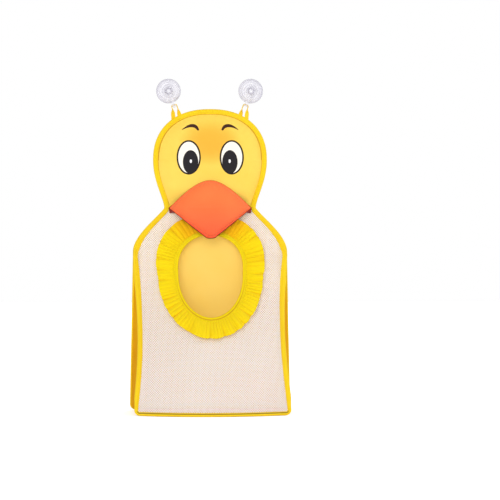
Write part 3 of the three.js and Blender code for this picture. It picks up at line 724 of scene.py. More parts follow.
# %% White net
CELL = 3.4 * MM
STRAND = 1.12 * MM
NET = 0.5 * MM
NET_INNER = 5.2 * MM
NET_BLOT = 60 * MM
FIBRES = 2600.0
MOUTH_FULL = 0.24
MOUTH_FULL_FROM = 0.12
WAYS = ((1, 1), (-1, 1), (-1, -1), (1, -1))


def fullness(level):
    """How much wider the opening is than an oval: 1 + f s^2 / (s + g) at a share s of the way up."""
    up = np.maximum(level, 0)
    return 1 + MOUTH_FULL * up ** 2 / (up + MOUTH_FULL_FROM)


def net_region(x, z):
    """True between the opening's casing and the outer seams."""
    level = (z - MOUTH_Z) / (MOUTH_HALF[1] + NET_INNER)
    hole = np.hypot(x / ((MOUTH_HALF[0] + NET_INNER) * fullness(level)), level)
    side = np.where(z > GUSSET_HEIGHT, half_width(z) - UNDER_TAPE, body_side(front_half, z) - GAP)
    return (hole > 1) & (np.abs(x) < side) & (z > EDGE_TAPE_Z) & (z < NECK_Z)


def shifted(crossing, right, up):
    """For each lattice point, the value of the neighbour that many steps to the right and up."""
    padded = np.pad(crossing, 1, constant_values=False)
    rows, columns = crossing.shape
    return padded[1 + right:1 + right + rows, 1 + up:1 + up + columns]


def net_faces(crossing):
    """Faces of all crossings, strands and edge walls. Corners are numbered east, north, west, south, first
    in front and then behind."""
    number = np.where(crossing, np.cumsum(crossing).reshape(crossing.shape) - 1, 0) * 8
    ids = number[crossing][:, None]
    faces = [ids + [0, 1, 2, 3], ids + [7, 6, 5, 4]]
    for first, (right, up) in enumerate(WAYS):
        second = (first + 1) % 4
        joined = shifted(crossing, right, up) & crossing
        edge = number[crossing & ~joined][:, None]
        faces.append(edge + [second, first, first + 4, second + 4])
        if up > 0:
            near = number[joined][:, None]
            far = shifted(number, right, up)[joined][:, None]
            a, b = near + first, near + second
            c, d = far + (first + 3) % 4, far + (first + 2) % 4
            walls = [(b, a, c, d), (a + 4, b + 4, d + 4, c + 4), (a, a + 4, c + 4, c), (b + 4, b, d, d + 4)]
            faces += [np.concatenate(wall, 1) for wall in walls]
    return np.concatenate(faces)


def white_net():
    """Crossings at every second lattice point; y follows the mesh front at each of a crossing's corners."""
    across = int(BASE_WIDTH / CELL) + 1
    up = int(2 * NECK_Z / CELL) + 1
    i, j = np.meshgrid(np.arange(-across, across + 1), np.arange(up), indexing="ij")
    crossing = ((i + j) % 2 == 0) & net_region(i * CELL / 2, j * CELL / 2)
    for _ in range(2):
        crossing &= sum(shifted(crossing, *way).astype(int) for way in WAYS) > 1
    corner = STRAND / np.sqrt(2) * np.array([[1, 0], [0, 1], [-1, 0], [0, -1]])
    place = np.stack([i[crossing], j[crossing]], 1)[:, None] * CELL / 2 + corner
    x, z = place[..., 0], place[..., 1]
    front = xyz(x, front_y(x, z) + (PANEL - NET) / 2, z)
    points = np.concatenate([front, front + [0, NET, 0]], 1).reshape(-1, 3)
    return put_mesh("front_net", points, outward(points, [on_front(points, net_faces(crossing))]))


def net_thread():
    """White yarn: fine fibres along the strand, slightly uneven, letting some light through."""
    material, tree, shader = new_material("net_thread")
    fibre = noise(tree, FIBRES, 3.0)
    dye = maths(tree, "MULTIPLY", dye_share(tree, NET_BLOT), 0.4)
    share = maths(tree, "MULTIPLY_ADD", fibre, 0.35, dye)
    feed(tree, shader, {
        "Base Color": mixed(tree, share, screen(255, 252, 250), screen(249, 238, 234)),
        "Roughness": maths(tree, "MULTIPLY_ADD", fibre, 0.25, 0.5),
        "Normal": bumped(tree, 0.3, 0.1 * MM, fibre),
        "Sheen Weight": 0.15,
    })
    let_light_through(tree, shader, screen(252, 246, 244), 0.12)
    return material


net = white_net()
dress(net, net_thread(), "white_mesh", "front_mesh_panel")

# %% [markdown]
# Tape is folded over every raw edge. On the body it ends in a round bead with a thin lip, which also hides
# the cut ends of the net. On head and shoulders it is wider and flat. Both are a closed section carried
# along a path, with a slight pucker from the sewing.

# %% Folded tape
LIP = 3.0 * MM
LIP_HALF = 0.85 * MM
PUCKER = 5.5 * MM
PUCKER_SHARE = 0.05
TUCK_IN = 1.4 * EDGE_TAPE_R
SLOPE_STEP = 0.5 * MM


def bead_section(count=17):
    """Closed section (inward, outward): a half circle at the edge that narrows to a lip by a smooth step."""
    nose = np.linspace(np.pi, np.pi / 2, count)
    inward = np.concatenate([EDGE_TAPE_R * np.cos(nose), np.linspace(0, LIP, count)[1:]])
    fall = EDGE_TAPE_R + (LIP_HALF - EDGE_TAPE_R) * smooth(np.linspace(0, 1.25, count)[1:])
    rise = np.concatenate([EDGE_TAPE_R * np.sin(nose), fall])
    front = np.stack([inward, rise], 1)
    lip = np.array([[LIP + LIP_HALF / 2, LIP_HALF / 2], [LIP + LIP_HALF / 2, -LIP_HALF / 2]])
    return np.concatenate([front, lip, front[:0:-1] * (1, -1)])


def flat_section(width, half, count=11):
    """Closed section of a flat folded tape: a half circle at the edge, level sides and a small round lip."""
    nose = np.linspace(np.pi, np.pi / 2, count)
    front = np.stack([half + half * np.cos(nose), half * np.sin(nose)], 1)
    level = np.stack([np.linspace(half, width, count)[1:], np.full(count - 1, half)], 1)
    lip = np.array([[width + half / 8, half * 0.92], [width + half / 5, half * 0.75]])
    side = np.concatenate([front, level, lip])
    return np.concatenate([side, side[:0:-1] * (1, -1)])


def along_path(path, inward, facing, section):
    """Section carried along a path: path + inward times its first size + facing times its second one, with
    a pucker of a few hundredths of that second size."""
    run = length_along(path)
    pucker = 1 + PUCKER_SHARE * np.sin(2 * np.pi * run / PUCKER) * np.sin(run / (4 * PUCKER))
    depth = section[None, :, 1:] * pucker[:, None, None]
    return path[:, None] + inward[:, None] * section[None, :, :1] + facing[:, None] * depth


def all_facing(path, direction):
    """The same direction at each point of a path."""
    return np.tile(np.array(direction, float), (len(path), 1))


def edge_frame(path, facing):
    """Inward direction of a body edge: square to its run and to the cloth, towards the bag's middle."""
    along = unit(np.gradient(path, axis=0))
    inward = unit(np.cross(facing, along))
    middle = np.array([0, 0, GUSSET_HEIGHT / 2]) - path
    return inward * np.sign((inward * middle * (1, 0, 1)).sum(1, keepdims=True))


def body_edge(half):
    """Edge (x, z) up the right side from the middle of the base and on under the head's tape, joined to its
    mirror image."""
    turn = np.linspace(0, np.pi / 2, 12)
    inner = half(np.array(CORNER_Z)) - EDGE_CORNER
    base_run = np.stack([np.linspace(0, inner, 30), np.full(30, EDGE_TAPE_Z)], 1)
    corner = np.stack([inner + EDGE_CORNER * np.sin(turn), CORNER_Z - EDGE_CORNER * np.cos(turn)], 1)
    z = np.linspace(CORNER_Z, GUSSET_HEIGHT, 90)[1:]
    above = np.linspace(GUSSET_HEIGHT, GUSSET_HEIGHT + TAPE_TUCK, 12)[1:]
    top = half(z[-1])
    tuck = top + (half_width(above) - TUCK_IN - top) * smooth((above - z[-1]) / TAPE_TUCK)
    side = np.concatenate([np.stack([half(z), z], 1), np.stack([tuck, above], 1)])
    return resample(mirrored(np.concatenate([base_run, corner[1:], side])), 560)


def front_tape():
    """Path of the front tape, the inward direction, and the mesh's facing direction from its slopes."""
    x, z = body_edge(front_half).T
    path = xyz(x, tape_y(x, z), z)
    slope_x = (front_y(x + SLOPE_STEP, z) - front_y(x - SLOPE_STEP, z)) / (2 * SLOPE_STEP)
    slope_z = (tape_y(x, z + SLOPE_STEP) - tape_y(x, z - SLOPE_STEP)) / (2 * SLOPE_STEP)
    facing = unit(xyz(slope_x, -1.0, slope_z))
    return path, edge_frame(path, facing), facing


def back_tape():
    """Path of the back tape in the back panel's plane."""
    x, z = body_edge(back_half).T
    path = xyz(x, BACK_SEAM_Y, z)
    facing = all_facing(path, (0, 1, 0))
    return path, edge_frame(path, facing), facing


# %% [markdown]
# The tapes aren't even. On the shoulders the head's tape is wider, along the sides the front tape lies
# flatter and reaches further out, and along the base a painted shade line darkens it between its bead and
# its lip.

# %% Uneven tape
TAPE_END = 0.97
SHOULDER_TAPE = 0.3
SHOULDER_TAPE_Z = 240 * MM
SHOULDER_TAPE_FALL = 45 * MM
CREASE_SHADE_IN = 1.6 * MM
CREASE_SHADE_HALF = 0.75 * MM
CREASE_SHADE_HEIGHT = 9 * MM
SIDE_TAPE = 1.8 * MM
SIDE_TAPE_RISE = 20 * MM
SIDE_TAPE_FALL = 40 * MM
UPPER_LIP = 1.6 * MM
UPPER_LIP_FROM = 130 * MM
UPPER_LIP_RISE = 70 * MM
HEAD_TAPE_HALF = (BACK_Y - EDGE_Y) / 2 + GAP + 1 * MM


def head_tape():
    """Path over head and shoulders in the middle of the layers, facing the front. On the shoulders it is
    wider, by a smooth step up from its end and a longer one down to the neck."""
    path = xyz(head_outline[:, 0], LAYERS_Y, head_outline[:, 1])
    inward = unit(inset(head_outline, 1.0) - head_outline)
    z = path[:, 2:]
    widen = smooth((z - GUSSET_HEIGHT) / (SHOULDER_TAPE_Z - GUSSET_HEIGHT))
    narrow = smooth((z - SHOULDER_TAPE_Z) / SHOULDER_TAPE_FALL)
    wide = TAPE_END + (1 - TAPE_END + SHOULDER_TAPE) * widen - SHOULDER_TAPE * narrow
    return path, xyz(inward[:, 0], 0.0, inward[:, 1]) * wide, all_facing(path, FRONTWARD)


def base_crease_shade(path, section):
    """Share of the painted shade line between bead and lip, along the base alone: a bell curve across the
    tape's front times a smooth step of the height. The two poles that close the ends have none."""
    across = bell(section[:, 0], CREASE_SHADE_IN, CREASE_SHADE_HALF) * (section[:, 1] > 0)
    low = smooth((CREASE_SHADE_HEIGHT - path[:, 2]) / EDGE_CORNER)
    return np.concatenate([np.outer(low, across).ravel(), [0, 0]])


def wider_side(points, path, inward, section):
    """Front tape whose bead reaches further out on both sides, by smooth steps of the height that leave its
    base and its tucked ends as they are, and whose lip is wider under the shoulders."""
    z = path[:, 2]
    rise = smooth((z - CREASE_SHADE_HEIGHT) / SIDE_TAPE_RISE)
    reach = SIDE_TAPE * rise * smooth((GUSSET_HEIGHT - z) / SIDE_TAPE_FALL)
    outer = np.clip(-section[:, 0] / EDGE_TAPE_R, 0, 1)
    lip = UPPER_LIP * smooth((z - UPPER_LIP_FROM) / UPPER_LIP_RISE)
    inner = np.clip(section[:, 0] / LIP, 0, 1)
    return points + inward[:, None] * (np.outer(lip, inner) - np.outer(reach, outer))[..., None]


tapes = {
    "front_binding": (front_tape(), bead_section()),
    "back_binding": (back_tape(), bead_section()),
    "head_binding": (head_tape(), flat_section(TAPE_FLANGE, HEAD_TAPE_HALF)),
}
for name, ((path, inward, facing), section) in tapes.items():
    points = along_path(path, inward, facing, section)
    if name == "front_binding":
        points = wider_side(points, path, inward, section)
    tape = cloth_piece(f"{name}_tape", points, **TUBE)
    if name == "front_binding":
        # painted shade line along the base of the front tape
        store(tape, crease=base_crease_shade(path, section))
    dress(tape, tape_cloth, "edge_tape", name)

# %% [markdown]
# The face is brushed cloth over a foam sheet, with eyes and brows printed on it, and a painted shade line
# along the inner edge of its tape. Print has a crisp edge, so its shapes are not painted on points. Each
# point stores its signed distance to a shape, and the material draws ink where that distance is below zero,
# and the shade line in the same way. Between two points a distance blends evenly, so edges stay sharp.

# %% Print and painted seam shade on the face
OVALS = {
    "eye": {"at": (31.5 * MM, 370.4 * MM), "half": (16.5 * MM, 24.0 * MM)},
    "pupil": {"at": (28.8 * MM, 363.6 * MM), "half": (11.3 * MM, 17.4 * MM)},
    "glint": {"at": (28.4 * MM, 364.8 * MM), "half": (1.5 * MM, 2.7 * MM)},
}
BROW_TOP = {"from": 16.3 * MM, "to": 41.8 * MM, "foot": 410.6 * MM, "rise": 8.6 * MM}
BROW_UNDER = {"from": 19.4 * MM, "to": 41.8 * MM, "foot": 409.8 * MM, "rise": 4.6 * MM}
BROW_STEEP = 0.6
BROW_PEAK = 0.347
EYE_LINE = 2.4 * MM
SEAM_SHADE_LINE = 1.3 * MM
INK_EDGE = 0.12 * MM
INKS_AND_SEAM_SHADE = [
    # not print: a painted shade line along the inner edge of the head's tape
    ("seam", SEAM_SHADE_LINE, screen(206, 158, 32)),
    ("eye", EYE_LINE / 2, screen(30, 20, 16)),
    ("eye", -EYE_LINE / 2, screen(252, 246, 232)),
    ("pupil", 0.0, screen(30, 27, 30)),
    ("glint", 0.0, screen(255, 255, 255)),
    ("brow", 0.0, screen(58, 30, 18)),
]
# the face is darker towards its middle, over and between the eyes
MIDDLE_DEEPENING = 0.8
MIDDLE_DEEPENING_Z = 392 * MM
MIDDLE_DEEPENING_HALF = (50 * MM, 36 * MM)


def oval_distance(x, z, oval):
    """Signed distance to an oval, to first order: its level less one, over the length of its slope."""
    p = (np.abs(x) - oval["at"][0]) / oval["half"][0]
    q = (z - oval["at"][1]) / oval["half"][1]
    slope = np.hypot(p / oval["half"][0], q / oval["half"][1])
    return (p * p + q * q - 1) / (2 * np.maximum(slope, 1.0))


def brow_curve(x, brow):
    """Height of a brow's edge: t^0.6 (1 - t), which is steep at its inner end, scaled to its rise."""
    t = np.clip((np.abs(x) - brow["from"]) / (brow["to"] - brow["from"]), 0, 1)
    return brow["foot"] + brow["rise"] * t ** BROW_STEEP * (1 - t) / BROW_PEAK


def brow_distance(x, z):
    """Positive outside the sickle between a brow's two edges, and past its ends."""
    inside = np.minimum(brow_curve(x, BROW_TOP) - z, z - brow_curve(x, BROW_UNDER))
    ends = np.minimum(np.abs(x) - BROW_TOP["from"], BROW_TOP["to"] - np.abs(x))
    return -np.minimum(inside, ends)


def print_face(piece):
    """Stores the distances of eye, pupil, glint, brow and seam on the face's points, the last for painted
    shade.
    """
    flat = np.empty(3 * len(piece.data.vertices), np.float32)
    piece.data.vertices.foreach_get("co", flat)
    x, _, z = flat.reshape(-1, 3).astype(float).T
    store(piece, **{name: oval_distance(x, z, oval) for name, oval in OVALS.items()})
    store(piece, brow=brow_distance(x, z), seam=to_head_side(x, z) - TAPE_FLANGE)


def inked_and_shaded(tree, name, edge, colour, ink_and_shade_tone):
    """Colour with a mark laid where a stored distance is below the given edge: print, and along the seam a
    painted shade line.
    """
    share = between(tree, stored(tree, name), edge + INK_EDGE, edge - INK_EDGE)
    return mixed(tree, share, colour, ink_and_shade_tone)


def middle_deepening_share(tree):
    """Share of the deeper colour over and between the eyes: a smooth step of an oval's level."""
    x, _, z = add(tree, "SeparateXYZ", {0: own_place(tree)}).outputs
    aside = maths(tree, "DIVIDE", x, MIDDLE_DEEPENING_HALF[0])
    above = maths(tree, "DIVIDE", maths(tree, "SUBTRACT", z, MIDDLE_DEEPENING_Z), MIDDLE_DEEPENING_HALF[1])
    square = maths(tree, "MULTIPLY_ADD", aside, aside, maths(tree, "MULTIPLY", above, above))
    return maths(tree, "MULTIPLY", between(tree, square, 1.0, 0.0, "SMOOTHSTEP"), MIDDLE_DEEPENING)


def face_cloth():
    """Brushed golden cloth, deeper in colour over and between the eyes, with the printed inks and a painted
    shade line along the tape on it.
    """
    material, tree, shader = new_material("face_cloth")
    woven(tree, shader, screen(252, 216, 97), screen(249, 205, 77), 0.5 * MM, 0.3)
    plain = shader.inputs["Base Color"].links[0].from_socket
    colour = mixed(tree, middle_deepening_share(tree), plain, screen(240, 172, 46))
    # each entry lays print, except the seam's, which lays painted shade
    for name, edge, ink_and_shade_tone in INKS_AND_SEAM_SHADE:
        colour = inked_and_shaded(tree, name, edge, colour, ink_and_shade_tone)
    feed(tree, shader, {"Base Color": colour})
    return material


# %% [markdown]
# The padded face itself is drawn in rings from its sewn edge to its middle. Along the seam the thread draws
# the cloth in, which leaves small puckers that die out within a finger's width.

# %% Face and foam
FACE_PUCKER = 0.4 * MM
PUCKER_REACH = 11 * MM
FOAM_CELLS = 700.0


def face_outline():
    """Closed outline (x, z) of the face inside the tape, from the neck's middle to its side and round."""
    head = inset(right_half, UNDER_TAPE)
    head = head[head[:, 1] > NECK_Z + GAP]
    neck = np.stack([np.linspace(0, head[0, 0], 30), np.full(30, NECK_Z + GAP)], 1)
    return closed(np.concatenate([neck, head]), 360)


def ring_grid(outline, middle, shares):
    """Rings that shrink from an outline to its middle: (1 - share) outline + share middle."""
    return outline[None] + (np.array(middle) - outline)[None] * shares[:, None, None]


def ring_shares(seam, fine, coarse, last=0.985):
    """Shares of rings that lie close along the seam and wider apart towards the middle."""
    return np.concatenate([np.linspace(0, seam, fine), np.linspace(seam, last, coarse)[1:]])


def puckers(count, waves, sway, slow, finer, share):
    """Uneven puckers round an edge: a sine whose phase sways slowly, and a share of a finer sine."""
    run = full_turn(count)
    return np.sin(waves * run + sway * np.sin(slow * run)) + share * np.sin(finer * run)


def face_panel():
    """Rings on the face's rise, with puckers along the seam: a sine round the edge that fades inwards."""
    outline = face_outline()
    flat = ring_grid(outline, (0, HEAD_MID_Z), ring_shares(0.3, 26, 58))
    inside = np.linalg.norm(flat - outline[None], axis=2)
    fade = np.exp(-inside / PUCKER_REACH) * smooth((inside - TAPE_FLANGE / 2) / TAPE_FLANGE)
    pucker = FACE_PUCKER * fade * puckers(len(outline), 47, 3, 5, 83, 0.6)
    x, z = flat[..., 0], flat[..., 1]
    return xyz(x, face_y(x, z) + pucker, z)


def foam_sheet():
    """Closed pad behind the face: its front a cloth's thickness behind the face, its back level."""
    flat = ring_grid(face_outline(), (0, HEAD_MID_Z), np.linspace(0.13, 0.97, 30))
    x, z = flat[..., 0], flat[..., 1]
    rear = xyz(x, EDGE_Y + PANEL, z)
    return np.concatenate([rear[::-1], xyz(x, face_y(x, z) + PANEL + GAP, z)])


def foam_cells():
    """Open foam: rounded cells, darker in their hollows as painted shade."""
    material, tree, shader = new_material("foam_cells")
    cells = add(tree, "TexVoronoi", {"Vector": own_place(tree), "Scale": FOAM_CELLS}).outputs["Distance"]
    feed(tree, shader, {
        # painted shade in the hollows of the cells
        "Base Color": mixed(tree, cells, screen(240, 232, 206), screen(252, 248, 232)),
        "Normal": bumped(tree, 0.5, 0.4 * MM, cells),
        "Roughness": 0.95,
    })
    return material


face = cloth_piece("face_panel", face_panel(), **DISC, toward=FRONTWARD)
print_face(face)
dress(thicken(face, PANEL), face_cloth(), "face_cloth", "head_front_panel")
foam = foam_cells()
head_foam = cloth_piece("head_foam_sheet", foam_sheet(), **TUBE)
dress(head_foam, foam, "foam", "head_foam")

# %% [markdown]
# Face and mesh meet at the neck, where a flat tape covers the seam. Most of it lies behind the beak. Its
# section is a superellipse: powers below one turn an oval's cosine and sine into a box with soft corners.

# %% Neck tape
NECK_TAPE_HALF = 4 * MM
NECK_TAPE = 0.9 * MM


def superellipse(turn, wide, thick):
    """Cosine and sine of a turn, each raised to a power of its own with its sign kept."""
    waves = ((np.cos(turn), wide), (np.sin(turn), thick))
    return [np.sign(wave) * np.abs(wave) ** power for wave, power in waves]


def neck_tape():
    """Flat section with round ends, carried across the neck."""
    half = NECK_WIDTH / 2 - TAPE_FLANGE - GAP
    up, ahead = superellipse(full_turn(28), 0.3, 0.6)
    y = EDGE_Y - GAP - NECK_TAPE / 2 + NECK_TAPE / 2 * ahead
    return xyz(np.linspace(-half, half, 90)[:, None], y, NECK_Z + NECK_TAPE_HALF * up)


seam_tape = cloth_piece("neck_seam_tape_cloth", neck_tape(), **TUBE)
dress(seam_tape, tape_cloth, "edge_tape", "neck_seam_tape")

# %% [markdown]
# The opening is an oval with elastic in a folded casing and a gathered frill round it. A strip of cloth
# that is longer than the oval is drawn up on the elastic, so it leaves the casing in many tight pleats.
# Towards its free edge the pleats join into fewer and larger waves. The frill is a function of the angle
# round the oval and of the distance from it. Each wave is a ridge with a narrow valley, as gathered cloth
# has it.

# %% Frill
FRILL_WIDTH = 23 * MM
FRILL_LIFT = 6.5 * MM
FRILL_WAVE = 2.8 * MM
FRILL_PLEAT = 2.1 * MM
FRILL_GATHERS = 24
FRILL_PLEATS = 83
FRILL_EDGE = 0.4 * MM
FRILL_CLOTH = 0.7 * MM
FRILL_TUCK = 1.2 * MM
FRILL_NARROW = 0.06
FRILL_FULL = 5 * MM
PRESSED = np.radians(26)
LOOSE = np.radians(52)
BEAK_SHADE = 1.3
MOUTH_TURN = 0.01


def mouth_edge(angle):
    """Edge of the opening at an angle: an oval times its fullness across."""
    across = MOUTH_HALF[0] * fullness(np.sin(angle)) * np.cos(angle)
    return np.stack([across, MOUTH_HALF[1] * np.sin(angle)], -1)


def round_mouth(angle, out):
    """Point (x, z) at a distance outside the opening's edge, square to the way that the edge runs."""
    along = unit(mouth_edge(angle + MOUTH_TURN) - mouth_edge(angle - MOUTH_TURN))
    normal = np.stack([along[..., 1], -along[..., 0]], -1)
    place = mouth_edge(angle) + normal * np.asarray(out)[..., None]
    return place[..., 0], place[..., 1] + MOUTH_Z


def ridge(phase, power=0.8):
    """Wave from -1 to 1 with round ridges and narrow valleys: 2 |cos(phase / 2)|^power - 1."""
    return 2 * np.abs(np.cos(phase / 2)) ** power - 1


def slow_sines(angle, fewest, most, seed):
    """Sum of sines round the oval: all wave counts from the fewest to below the most, starts seeded."""
    slow = np.arange(fewest, most)
    start = np.random.default_rng(seed).uniform(0, 2 * np.pi, len(slow))
    return np.sin(angle[..., None] * slow + start).sum(-1)


def wandering(angle, count, seed, amount=0.9):
    """Phase of count waves round the oval that are unevenly spaced: slow sines added to it."""
    return count * angle + amount * slow_sines(angle, 2, 9, seed)


def grouped(angle):
    """Strength of the pleats round the oval, from 0.4 to 1: slow sines put through a smooth step, so that
    pleats come in groups with smooth cloth between them."""
    return 0.4 + 0.6 * smooth(0.6 + 0.3 * slow_sines(angle, 4, 14, seed=14))


def gathered_frill():
    """y = mesh front - lift - wave - pleat. The lift rises as 1 - (1 - share)^3 and falls a little at the
    free edge. Pleats are strongest near the casing and waves at the free edge. Behind the beak both are
    pressed. The other results are shares of painted shade: how deep among the pleats each point lies, and
    how near to the beak, where the shade also stands for an orange painted reflection of the beak."""
    angle = full_turn(1400)[None]
    share = np.linspace(0, 1, 34)[:, None]
    from_beak = (np.abs(angle - np.pi / 2) - PRESSED) / (LOOSE - PRESSED)
    loose = smooth(from_beak)
    wave = ridge(wandering(angle, FRILL_GATHERS, 11))
    pleat = ridge(wandering(angle, FRILL_PLEATS, 12, 1.1), 0.6) * grouped(angle)
    low = np.clip(-np.sin(angle), 0, 1) ** 2
    corner = 2 * np.clip(np.sin(angle), 0, 1) * np.abs(np.cos(angle))
    width = (FRILL_WIDTH + FRILL_TUCK) * (1 - FRILL_NARROW * low) + FRILL_FULL * corner
    edge = FRILL_EDGE * share ** 3 * (0.8 * wave + 0.2 * pleat)
    lift = FRILL_LIFT * (1 - (1 - share) ** 3 - 0.1 * share ** 3) * (0.45 + 0.55 * loose)
    swing = FRILL_WAVE * share ** 1.3 * (0.25 + 0.75 * loose) * wave
    fine = FRILL_PLEAT * np.sqrt(share) * (1 - 0.6 * share) * (0.6 + 0.4 * loose) * pleat
    x, z = round_mouth(angle, CASING_WIDTH - FRILL_TUCK + share * width + edge)
    y = front_y(x, z) - GAP - FRILL_CLOTH - lift - swing - fine
    # painted shade: deep in the pleats and in the valleys of the waves
    fold = smooth(-1.2 * pleat) * (1 - 0.5 * share) + 0.5 * smooth(-wave) * share
    # painted shade and an orange painted reflection of the beak: share near the beak
    near = 1 - smooth(from_beak * BEAK_SHADE)
    return xyz(x, y, z), np.clip(fold, 0, 1), np.broadcast_to(near, x.shape)


# painted shade on frill and casing: near the beak, where it also stands for an orange reflection of the beak,
# deep in the pleats, and along the casing's seam
FRILL_SHADE_TONES = [
    ("near_beak", screen(255, 196, 2)),
    ("fold", screen(240, 196, 2)),
    ("seam", screen(206, 144, 10)),
]
frill_cloth = cloth(
    "gathered_cloth", screen(255, 238, 10), screen(255, 229, 2), 0.4 * MM, 0.25,
    through=0.3, glow=screen(255, 232, 10), deep=FRILL_SHADE_TONES,
)
frill_grid, frill_fold, near_beak = gathered_frill()
frill = cloth_piece("opening_frill_cloth", frill_grid, (False, True), toward=FRONTWARD)
# these shares lay painted shade on the frill, and an orange painted reflection near the beak
store(frill, fold=frill_fold, near_beak=near_beak)
dress(thicken(frill, FRILL_CLOTH), frill_cloth, "frill_cloth", "opening_frill")

# %% [markdown]
# The casing is a tunnel of the same cloth, flattened by its stitching and puckered by the elastic. A
# rounded oblong section with a ripple round the oval gives both. The elastic itself is a flat band inside
# the tunnel.

# %% Casing and elastic
CASING_HALF = 2.4 * MM
CASING_AHEAD = 0.05 * MM
CASING_RIPPLE = 0.3 * MM
CASING_SEAM_SHADE = 0.16
ELASTIC = (1.4 * MM, 4.5 * MM)
ELASTIC_HALF = 1.1 * MM


def oblong_ring(inner, outer, depth, half, power, ripples=0.0):
    """Ring round the opening with a superellipse section. The other results are shares of painted shade,
    near its inner and outer edges and along the seam between, most below."""
    angle = full_turn(900)[:, None]
    across, thick = superellipse(full_turn(32)[None], power, power)
    x, z = round_mouth(angle, (inner + outer) / 2 + (outer - inner) / 2 * across)
    ripple_y = ripples * ridge(wandering(angle, FRILL_PLEATS, 12, 1.6)) * np.abs(across)
    # painted shade along the casing's inner and outer edges
    fold = 0.8 * smooth((-across - 0.6) / 0.4) + 0.5 * smooth((across - 0.8) / 0.2)
    low = np.clip(-1.5 * np.sin(angle), 0, 1)
    # painted shade line along the middle of the casing's front, strongest below
    seam = bell(across, 0, CASING_SEAM_SHADE) * (thick < 0) * (0.2 + 0.8 * low)
    grid = xyz(x, front_y(x, z) + depth + (half + ripple_y) * thick, z)
    return grid, np.broadcast_to(fold, grid.shape[:2]), seam


tunnel_grid, tunnel_fold, tunnel_seam_shade = oblong_ring(
    0, CASING_WIDTH, -CASING_AHEAD, CASING_HALF, 0.62, CASING_RIPPLE,
)
tunnel = cloth_piece("opening_casing_cloth", tunnel_grid, **RING)
# both shares lay painted shade on the casing
store(tunnel, fold=tunnel_fold, seam=tunnel_seam_shade)
dress(tunnel, frill_cloth, "frill_cloth", "opening_casing")
band = cloth_piece("opening_elastic_band", oblong_ring(*ELASTIC, 0, ELASTIC_HALF, 0.35)[0], **RING)
elastic_cloth = cloth("elastic_band", screen(236, 234, 226), screen(214, 212, 204), 0.8 * MM, 0.6)
dress(band, elastic_cloth, "elastic", "opening_elastic")

# %% [markdown]
# The beak is a flat cushion: an orange cover over filling, with a dark red lining behind it. Its upper half
# lies on the face and its lower half stands off the bag. The cover rises from its seam as a rounded step
# that is nearly level in the middle, with small puckers where the thread draws it in. At both corners the
# lining runs back to the neck seam and shows as a dark wedge.

# %% Beak
BEAK_Z = 296.5 * MM
BEAK_TIP = 6 * MM
BEAK_ARCH = 22 * MM
BEAK_BEND = (31.5 * MM, 274.2 * MM)
BEAK_MIDDLE = (0, BEAK_Z)
BEAK_CLOTH = 1 * MM
BEAK_SEAM = 2 * MM
BEAK_PAD = 15 * MM
BEAK_STEEP = 3.4
BEAK_TILT = np.radians(21)
BEAK_PUCKER = 0.35 * MM
BEAK_PUCKER_FROM = 0.05
BEAK_PUCKER_REACH = 0.16
BEAK_SLACK = 0.5 * MM
BEAK_WAVE = 60 * MM
BEAK_LIGHT_Z = 318 * MM
BEAK_RED_Z = 258 * MM
LINING_EDGE = 1.5 * MM
ARCH_EDGE = 0.3 * MM
ARCH_FADE = 6 * MM


def bend(start, control, end):
    """Quadratic curve, as the cubic whose inner points lie two thirds of the way to its control point."""
    start, control, end = (np.array(p) for p in (start, control, end))
    return soft_curve(start, start + (control - start) * 2 / 3, end + (control - end) * 2 / 3, end)


def beak_outline(count=400):
    """Closed outline (x, z): a round tip, slightly hollow lower sides, and an arch above the corners."""
    low, high = beak_low.z, beak_high.z
    tip_end = (BEAK_TIP, BEAK_Z - (BEAK_Z - low) * (1 - BEAK_TIP / (2 * beak_high.x)))
    corner = (beak_high.x - LINING_EDGE, BEAK_Z)
    tip = bend((0, low + LINING_EDGE), (BEAK_TIP / 2, low + LINING_EDGE), tip_end)
    side = bend(tip_end, BEAK_BEND, corner)
    arch = bend(corner, (BEAK_ARCH, high - ARCH_EDGE), (0, high - ARCH_EDGE))
    return closed(np.concatenate([tip, side[1:], arch[1:]]), count)


def beak_back(z):
    """Depth of the lining's back: level on the face, and leaning forward below the beak's corners."""
    return EDGE_Y - HEAD_PAD - GAP - np.maximum(BEAK_Z - z, 0) * np.tan(BEAK_TILT)


def beak_rings(outline, shares):
    """Rings to the beak's middle, with each point's share of the way from the seam to the middle."""
    flat = ring_grid(outline, BEAK_MIDDLE, shares)
    reach = np.linalg.norm(outline - BEAK_MIDDLE, axis=1)
    inside = (shares[:, None] * reach - BEAK_SEAM) / (reach - BEAK_SEAM)
    return flat[..., 0], flat[..., 1], np.clip(inside, 0, 1)


def beak_rise(share):
    """Rise of the padding: the root of 1 - (1 - share)^3.4, steep at the seam and level in the middle."""
    return BEAK_PAD * np.sqrt(1 - (1 - share) ** BEAK_STEEP)


def beak_cover():
    """Front of the cover: lining, filling and cloth in front of each other, with puckers near the seam."""
    outline = beak_outline()
    x, z, share = beak_rings(outline, ring_shares(0.24, 30, 44))
    fade = np.exp(-share / BEAK_PUCKER_REACH) * smooth(share / BEAK_PUCKER_FROM)
    pucker = BEAK_PUCKER * fade * puckers(len(outline), 53, 2.5, 4, 91, 0.5)
    slack = BEAK_SLACK * smooth(share * 2) * ripple(x, z, seed=21, longest=BEAK_WAVE)
    return xyz(x, beak_back(z) - 2 * BEAK_CLOTH - GAP - beak_rise(share) + pucker + slack, z)


def beak_filling():
    """Closed pad between the lining and the cover."""
    x, z, share = beak_rings(beak_outline(200), np.linspace(0.14, 0.97, 24))
    rear = beak_back(z) - BEAK_CLOTH - GAP
    return np.concatenate([xyz(x, rear, z)[::-1], xyz(x, rear - GAP - 0.9 * beak_rise(share), z)])


